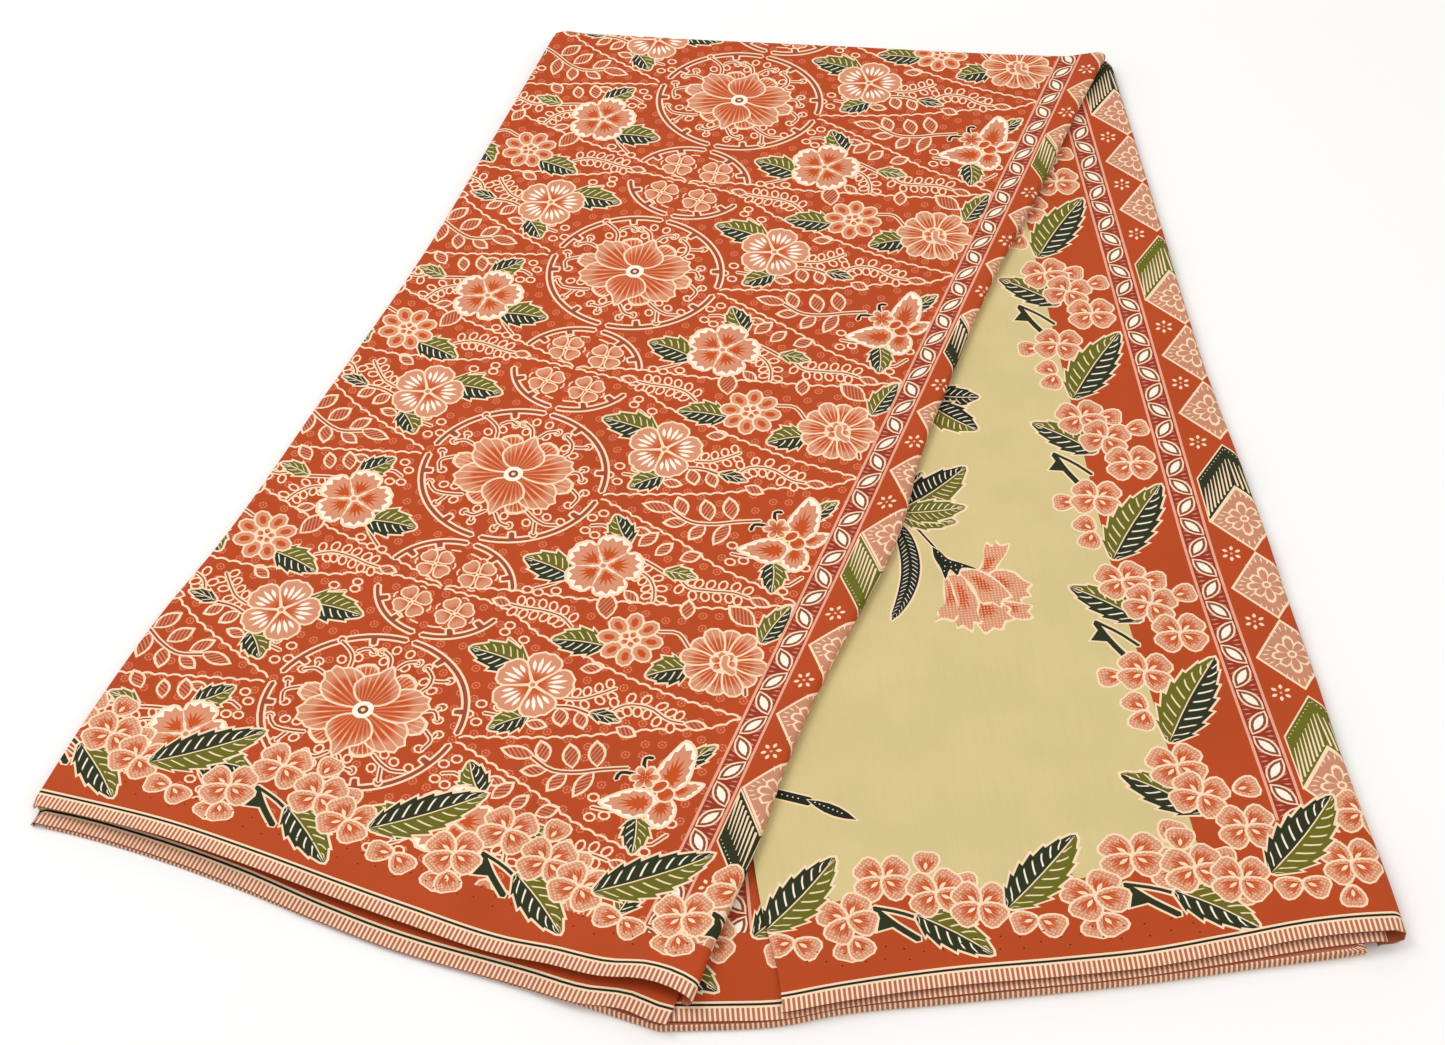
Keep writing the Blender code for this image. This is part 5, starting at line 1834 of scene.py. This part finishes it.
def weave_group() -> Tree:
    """Make the group of the cotton's plain weave, slubs and uneven dye."""
    group, position, made = new_group("plain_weave", "Position", ("Height", "Dye", "Gloss"))
    waves, fibres = [], []
    for turn in ((0.0, 0.0, 0.0), (0.0, 0.0, math.pi / 2)):
        turned = add(group, "Mapping", {"Vector": position, "Rotation": turn}).outputs[0]
        wave = {"Vector": turned, "Scale": 620.0, "Distortion": 0.6, "Detail": 1.0}
        waves.append(Value(group, add(group, "TexWave", wave).outputs["Fac"]))
        long = {"Vector": position, "Rotation": turn, "Scale": (900.0, 22.0, 1.0)}
        fibres.append(noise(group, add(group, "Mapping", long).outputs[0], 1.0, 1.0))
    slubs = (fibres[0] + fibres[1]) * 0.5
    feed(group, (waves[0] + waves[1]) * 0.5 + slubs * 0.8, made["Height"])
    feed(group, noise(group, position, 26.0, 3.0) * 0.6 + slubs * 0.4, made["Dye"])
    feed(group, slubs.ramp(0.3, 0.7), made["Gloss"])
    return group


@dataclass(frozen=True)
class PrintedCotton:
    """Printed plain-weave cotton: its dye, weave and sheen."""

    name: str = "printed_cotton"
    roughness: float = 0.78
    sheen: float = 0.02
    dye_depth: float = 0.045
    bump: float = 0.22

    def material(self, motif: Tree, weave: Tree) -> Material:
        """Build the material.

        Args:
            motif: The group that shades motifs.
            weave: The group of the cotton's weave.

        Returns:
            The material.
        """
        material = bpy.data.materials.new(self.name)
        material.use_nodes = True
        tree = material.node_tree
        ink, second, place = (
            add(tree, "Attribute", {}, attribute_name=label).outputs[output]
            for label, output in (("ink", "Color"), ("second_ink", "Color"), ("motif", "Vector"))
        )
        shading = add(tree, "Group", {0: place}, node_tree=motif)
        where = add(tree, "TexCoord", {}).outputs["Object"]
        threads = add(tree, "Group", {0: where}, node_tree=weave)
        mix = {0: shading.outputs["Share"], 6: ink, 7: second}
        mixed = add(tree, "Mix", mix, data_type="RGBA").outputs[2]
        mix = {0: shading.outputs["Pale"], 6: mixed, 7: (*Ink.CREAM.linear(), 1.0)}
        streaked = add(tree, "Mix", mix, data_type="RGBA").outputs[2]
        dye = Value(tree, threads.outputs["Dye"]).ramp(0.3, 0.7, 1 - self.dye_depth, 1 + self.dye_depth)
        tone = add(tree, "HueSaturation", {"Value": dye, "Color": streaked})
        gloss = Value(tree, threads.outputs["Gloss"])
        height = {"Strength": self.bump, "Distance": 0.0002, "Height": threads.outputs["Height"]}
        finish = {
            "Base Color": tone.outputs[0],
            "Roughness": gloss.ramp(0.0, 1.0, self.roughness - 0.07, self.roughness + 0.07),
            "Normal": add(tree, "Bump", height).outputs[0],
            "Sheen Weight": self.sheen,
            "Sheen Roughness": 0.5,
            "Specular IOR Level": 0.18,
        }
        for name, value in finish.items():
            feed(tree, value, tree.nodes["Principled BSDF"].inputs[name])
        return material


def diamonds(m: Motifs, axis: float, dots_x: float, first: float, up: bool, gap: float) -> None:
    """Print the diamonds in groups of three with a chevron after each.

    Args:
        m: The motifs of the panel's print.
        axis: The x of their middles.
        dots_x: The x of the dots beside them.
        first: The y of the first group's dots.
        up: Whether the chevrons point away from the viewer.
        gap: From a group's last dots to its chevron's apex.
    """
    for group in range(-1, 5):
        far = first - DIAMOND_REPEAT * group
        dots = [far - DIAMOND_PITCH * k for k in range(3)]
        for y in (place for place in dots if place > -400):
            six_dots(m, dots_x, y)
            diamond(m, axis, y + DIAMOND_PITCH / 2 * (1 if up else -1))
        chevron(m, axis, dots[2] - gap, Ink.GREEN if group % 2 else Ink.OLIVE, up)


@dataclass
class LeftStack:
    """The left stack's two printed layers."""

    axis: float = STRIP_RIGHT + 25.5
    dots_x: float = 258.0
    dots_y: float = 823.0
    near_stretch: float = 1.07

    def drift(self, points: Array) -> Array:
        """Move the body's print a little to the left near the viewer."""
        points = np.array(points, float)
        points[:, 0] -= 7.0 * smooth(-90, 45, -points[:, 1])
        return points

    def top(self) -> TopPanel:
        """Lay out the top layer's print."""
        panel = TopPanel("body_panel_top_cloth")
        cloth = panel.cloth
        m = Motifs(cloth)
        cloth.bend = self.drift
        body_print(m, 0, 4)
        cloth.bend = None
        cloth.put(rectangle(STRIP_RIGHT, -150, 310, 850), Ink.GROUND)
        diamonds(m, self.axis, self.dots_x, self.dots_y, False, 100.0)
        with cloth.at(STRIP_LEFT, 7.8):
            chain_strip(m, -150, 850, STRIP_RIGHT - STRIP_LEFT)
        cloth.put(rectangle(-190, -170, 300, -98), Ink.GROUND)
        for start in (-262, -113, 43, 193):
            with cloth.under(Place(start, -81, 0, self.near_stretch, 1.0)):
                near_border(m)
        specks(m, -140, 270, -103)
        selvedge_band(cloth, TOP_SELVEDGE, -0.19, 0.30)
        return panel

    def second(self) -> SecondPanel:
        """Lay out the second layer's print."""
        panel = SecondPanel("body_panel_second_cloth")
        selvedge_band(panel.cloth, SECOND_SELVEDGE, -0.20, 0.30)
        return panel


FIELD_EDGE = (  # x, y for one repeat
    (0, 0), (22, 12), (38, 26), (47, 11), (62, 13), (74, 14), (95, 10), (107, 8), (131, 4)
)


@dataclass
class RightStack:
    """The right stack's two printed layers."""

    field_x: float = 290.0
    field_y: float = -422.0
    strip_x: float = 340.0
    strip_width: float = 17.0
    axis: float = 384.0
    dots_x: float = 368.5
    dots_y: float = 268.2
    border_x: float = 292.0
    border_repeat: float = 151.5

    def drift(self, points: Array) -> Array:
        """Move the print outward near the viewer, as the fold is."""
        points = np.array(points, float)
        share = 11 * smooth(140, 440, -points[:, 1])
        points[:, 0] += share * smooth(200, 300, points[:, 0])
        return points

    def head(self) -> HeadPanel:
        """Lay out the head panel's print."""
        panel = HeadPanel("head_panel_top_cloth")
        cloth = panel.cloth
        cloth.bend = self.drift
        m = Motifs(cloth)
        rise = np.array([(start + x, self.field_y + y) for start in NEAR_STARTS for x, y in FIELD_EDGE])
        rise = rise[rise[:, 0] < self.field_x]
        rest = [(self.field_x, self.field_y + 8), (self.field_x, 480), (20, 480), (20, self.field_y)]
        cloth.put(np.concatenate([rise, rest]), Ink.FIELD)
        diamonds(m, self.axis, self.dots_x, self.dots_y, True, 4.0)
        with cloth.at(self.strip_x, 1.2):
            chain_strip(m, -500, 420, self.strip_width)
        cloth.put(rectangle(330, -520, 362, -384), Ink.GROUND)
        bouquet(m)
        for k in range(3, -3, -1):
            with cloth.at(self.border_x, -16 + self.border_repeat * k):
                (side_border if k > -2 else corner_border)(m)
        for start in NEAR_STARTS:
            with cloth.at(start, -423):
                near_border(m, (6, -3), (51, 43))
        specks(m, 65, 300, -449)
        cloth.bend = None
        selvedge_band(cloth, HEAD_SELVEDGE, 0.02, 0.46)
        return panel

    def under(self) -> UnderPanel:
        """Lay out the print of the layer under the head panel."""
        panel = UnderPanel("head_panel_second_cloth")
        cloth = panel.cloth
        m = Motifs(cloth)
        with cloth.at(18, 0):
            chain_strip(m, -500, 420, self.strip_width)
        cloth.put(rectangle(-60, -490, 440, -425), Ink.GROUND)
        for start in (-112, 36, 181, 326):
            with cloth.under(Place(start, -428, 0, 0.93, 1.0)):
                near_border(m)
        selvedge_band(cloth, UNDER_SELVEDGE, -0.05, 0.46)
        return panel


@dataclass
class HiddenLayers:
    """The folded layers inside, rounded, with their stacked edges at the near side."""

    name: str = "hidden_layers_cloth"
    sections: tuple[Row, ...] = (  # inset in mm, share of the height
        (1.4, 0.0), (0.4, 0.07), (0.15, 0.14), (0.3, 0.21), (1.3, 0.25), (0.25, 0.30), (0.05, 0.38),
        (0.2, 0.46), (1.5, 0.50), (0.55, 0.55), (0.4, 0.64), (0.6, 0.72), (1.7, 0.76), (0.9, 0.81),
        (0.8, 0.90), (2.0, 1.0),
    )
    end_radius: float = 4.2 * MM
    end_depth: float = 5.0 * MM
    near_left: Reach = (-0.1525, 0.262, 140)
    near_right: Reach = (0.012, 0.3815, 113)
    right_side: Reach = (-0.455, 0.34, 60)
    far_side: Reach = (0.345, -0.035, 40)
    left_side: Reach = (0.67, -0.125, 60)
    lid_reach: tuple[Pair, Pair] = ((-380, 400), (-470, 470))
    lid_step: float = 24.0
    lid_room: float = 9.0

    def outline(self) -> Array:
        """Return the outline in m, near left corner first."""
        u = np.linspace(*self.near_left)
        points = [to_plan(u, table(HIDDEN_NEAR_LEFT, u))]
        x = np.linspace(*self.near_right)
        points.append((x, table(HIDDEN_NEAR_RIGHT, x)))
        y = np.linspace(*self.right_side)
        points.append((table(HEAD_RIGHT_FOLD, y) - HIDDEN_INSET, y))
        x = np.linspace(*self.far_side)
        points.append((x, table(FAR_LINE, x) - HIDDEN_FAR_INSET))
        v = np.linspace(*self.left_side)
        points.append(to_plan(table(TOP_LEFT_FOLD, v) + HIDDEN_LEFT_INSET, v))
        return np.hstack(points).T

    def loop_end(self, ring: Array, share: float) -> Array:
        """Round the near right end as a folded layer's loop, open along its middle."""
        x, y = ring[:, 0], ring[:, 1]
        drawn_in = self.end_radius * (1 - math.sqrt(1 - (2 * share - 1) ** 2)) * smooth(0.364, 0.3805, x)
        depth = self.end_depth * (0.4 < share < 0.6)
        opened = depth * smooth(0.322, 0.355, x) * (1 - smooth(0.374, 0.380, x))
        return np.column_stack([x - drawn_in, y + opened * (y < -0.46)])

    def within(self, found: Sequence, ring: Array) -> list[tuple[int, ...]]:
        """Return the triangles of a triangulation that lie inside a closed outline."""
        faces = np.array(found[2])
        middle = np.array(found[0], float)[faces].mean(axis=1)
        return [tuple(face) for face in faces[inside(middle, ring)].tolist()]

    def walls(self, outline: Array) -> tuple[list[tuple[int, ...]], list[Row]]:
        """Return the sides' triangles, and where along the outline each one's corners lie, in mm."""
        count = len(outline)
        walk = np.concatenate([[0], np.cumsum(spans(outline))]) / MM
        faces, runs = [], []
        for low in range(0, (len(self.sections) - 1) * count, count):
            high = low + count
            for k in range(count):
                n = (k + 1) % count
                faces += [(low + k, low + n, high + n), (low + k, high + n, high + k)]
                a, b = walk[k], walk[k] + (walk[n] - walk[k] if n else 1.0)
                runs += [(a, b, b), (a, b, a)]
        return faces, runs

    def lid(self, points: list[Array], bottom: Array) -> list[tuple[int, ...]]:
        """Add the top's inner points to the piece's points and return the top's triangles.

        Args:
            points: The piece's points in m, those of the highest section last.
            bottom: The outline in mm.

        Returns:
            The triangles.
        """
        count = len(bottom)
        start = len(points) - count
        ring = np.array(points)[start:, :2] / MM
        xs, ys = np.meshgrid(*(np.arange(low, high, self.lid_step) for low, high in self.lid_reach))
        inner = np.column_stack([xs.ravel(), ys.ravel()])
        inner = inner[inside(inner, bottom)]
        inner = inner[room_in(inner, bottom) > self.lid_room]
        found = triangulate(np.concatenate([ring, inner]), [], [list(range(count))], 1e-5)
        index = []
        for place, origins in zip(found[0], found[3]):
            if origins and origins[0] < count:
                index.append(start + origins[0])
            else:
                index.append(len(points))
                x, y = place[0] * MM, place[1] * MM
                points.append(np.array([x, y, float(hidden_height(np.array(x), np.array(y)))]))
        return [tuple(index[i] for i in face) for face in self.within(found, ring)]

    def build(self, material: Material) -> Piece:
        """Build the closed piece with its ticks.

        Args:
            material: The cloth's material.

        Returns:
            The finished piece.
        """
        outline = self.outline()
        count = len(outline)
        points: list[Array] = []
        for inset, share in self.sections:
            ring = self.loop_end(grown(outline, -inset * MM), share)
            points.extend(np.column_stack([ring, hidden_height(ring[:, 0], ring[:, 1]) * share]))
        faces, runs = self.walls(outline)
        side = len(faces)
        faces += self.lid(points, outline / MM)
        base = np.array(points)[:count, :2] / MM
        found = triangulate(base, [], [list(range(count))], 1e-6)
        faces += [tuple(found[3][i][0] for i in face[::-1]) for face in self.within(found, base)]
        piece = make_mesh(self.name, np.array(points) + np.array(CENTRE_SHIFT), np.array(faces), material)
        motif = np.zeros((3 * len(faces), 3))
        motif[: 3 * side, 0] = np.array(runs).ravel() / TICK_PITCH
        motif[: 3 * side, 2] = float(Shade.TICKS)
        inks = (np.tile(ink.linear(), (len(motif), 1)) for ink in (Ink.TICK_BROWN, Ink.TICK_PALE))
        write(piece, *inks, motif)
        return piece


@dataclass
class Studio:
    """The pale floor, the soft light and the camera."""

    camera_at: tuple[float, float, float] = (0.04065, -1.1655, 1.15496)
    pitch: float = math.radians(47.081)
    roll: float = math.radians(-5.397)
    lens: float = 57.93
    floor_half: float = 3.0

    def camera(self) -> None:
        """Set the camera at the photograph's angle."""
        data = bpy.data.cameras.new("camera")
        data.lens = self.lens
        data.sensor_width = 36.0
        camera = self.linked(data)
        c, s = math.cos(self.pitch), math.sin(self.pitch)
        forward, right, up = Vector((0, c, -s)), Vector((1, 0, 0)), Vector((0, s, c))
        right_turned = right * math.cos(self.roll) + up * math.sin(self.roll)
        up_turned = up * math.cos(self.roll) - right * math.sin(self.roll)
        matrix = Matrix((right_turned, up_turned, -forward)).transposed().to_4x4()
        matrix.translation = self.camera_at
        camera.matrix_world = matrix
        bpy.context.scene.camera = camera

    def linked(self, data: bpy.types.ID) -> Piece:
        """Add an object of its data's own name."""
        thing = bpy.data.objects.new(data.name, data)
        bpy.context.scene.collection.objects.link(thing)
        return thing

    def floor(self) -> None:
        """Lay the pale floor."""
        bpy.ops.object.select_all(action="DESELECT")
        bpy.ops.mesh.primitive_plane_add(size=2 * self.floor_half, location=(0, 0.4, -0.0004))
        floor = bpy.context.active_object
        floor.name = "pale_floor"
        material = bpy.data.materials.new("pale_floor")
        material.use_nodes = True
        shader = material.node_tree.nodes["Principled BSDF"]
        shader.inputs["Base Color"].default_value = (0.90, 0.895, 0.885, 1.0)
        shader.inputs["Roughness"].default_value = 0.9
        shader.inputs["Specular IOR Level"].default_value = 0.1
        floor.data.materials.append(material)

    def light(self) -> None:
        """Add a wide soft light above and a pale surround."""
        world = bpy.data.worlds.new("studio")
        world.use_nodes = True
        background = world.node_tree.nodes["Background"]
        background.inputs["Color"].default_value = (1.0, 0.99, 0.975, 1.0)
        background.inputs["Strength"].default_value = 0.75
        bpy.context.scene.world = world
        for name, place, size, power in (
            ("key_light", (-1.1, 0.6, 2.2), 1.6, 26.0),
            ("fill_light", (1.4, -1.2, 1.9), 2.2, 10.0),
        ):
            data = bpy.data.lights.new(name, "AREA")
            data.shape = "DISK"
            data.size = size
            data.energy = power
            lamp = self.linked(data)
            lamp.location = place
            lamp.rotation_mode = "QUATERNION"
            lamp.rotation_quaternion = (-Vector(place)).to_track_quat("-Z", "Y")


def main() -> None:
    """Build the cloth, the floor, the light and the camera."""
    logging.basicConfig(level=logging.INFO)
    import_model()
    bpy.ops.object.select_all(action="DESELECT")
    studio = Studio()
    studio.camera()
    studio.floor()
    studio.light()
    bpy.context.scene.view_settings.view_transform = "Standard"
    motif, weave = motif_group(), weave_group()
    cotton = PrintedCotton().material(motif, weave)
    left, right = LeftStack(), RightStack()
    rows = (
        (left.top(), "body_panel_top", "body_print", (0.47, 0.93)),
        (left.second(), "body_panel_second", "body_print", (0.46, 0.93)),
        (right.head(), "head_panel_top", "head_print", (0.38, 0.91)),
        (right.under(), "head_panel_second", "head_print", (0.42, 0.90)),
    )
    hidden = HiddenLayers().build(cotton)
    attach(hidden, "root")
    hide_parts("hidden_layers")
    for panel, node, slot, flat in rows:
        piece = panel.build(cotton)
        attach(piece, "root")
        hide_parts(node)
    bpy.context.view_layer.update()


if __name__ == "__main__":
    main()
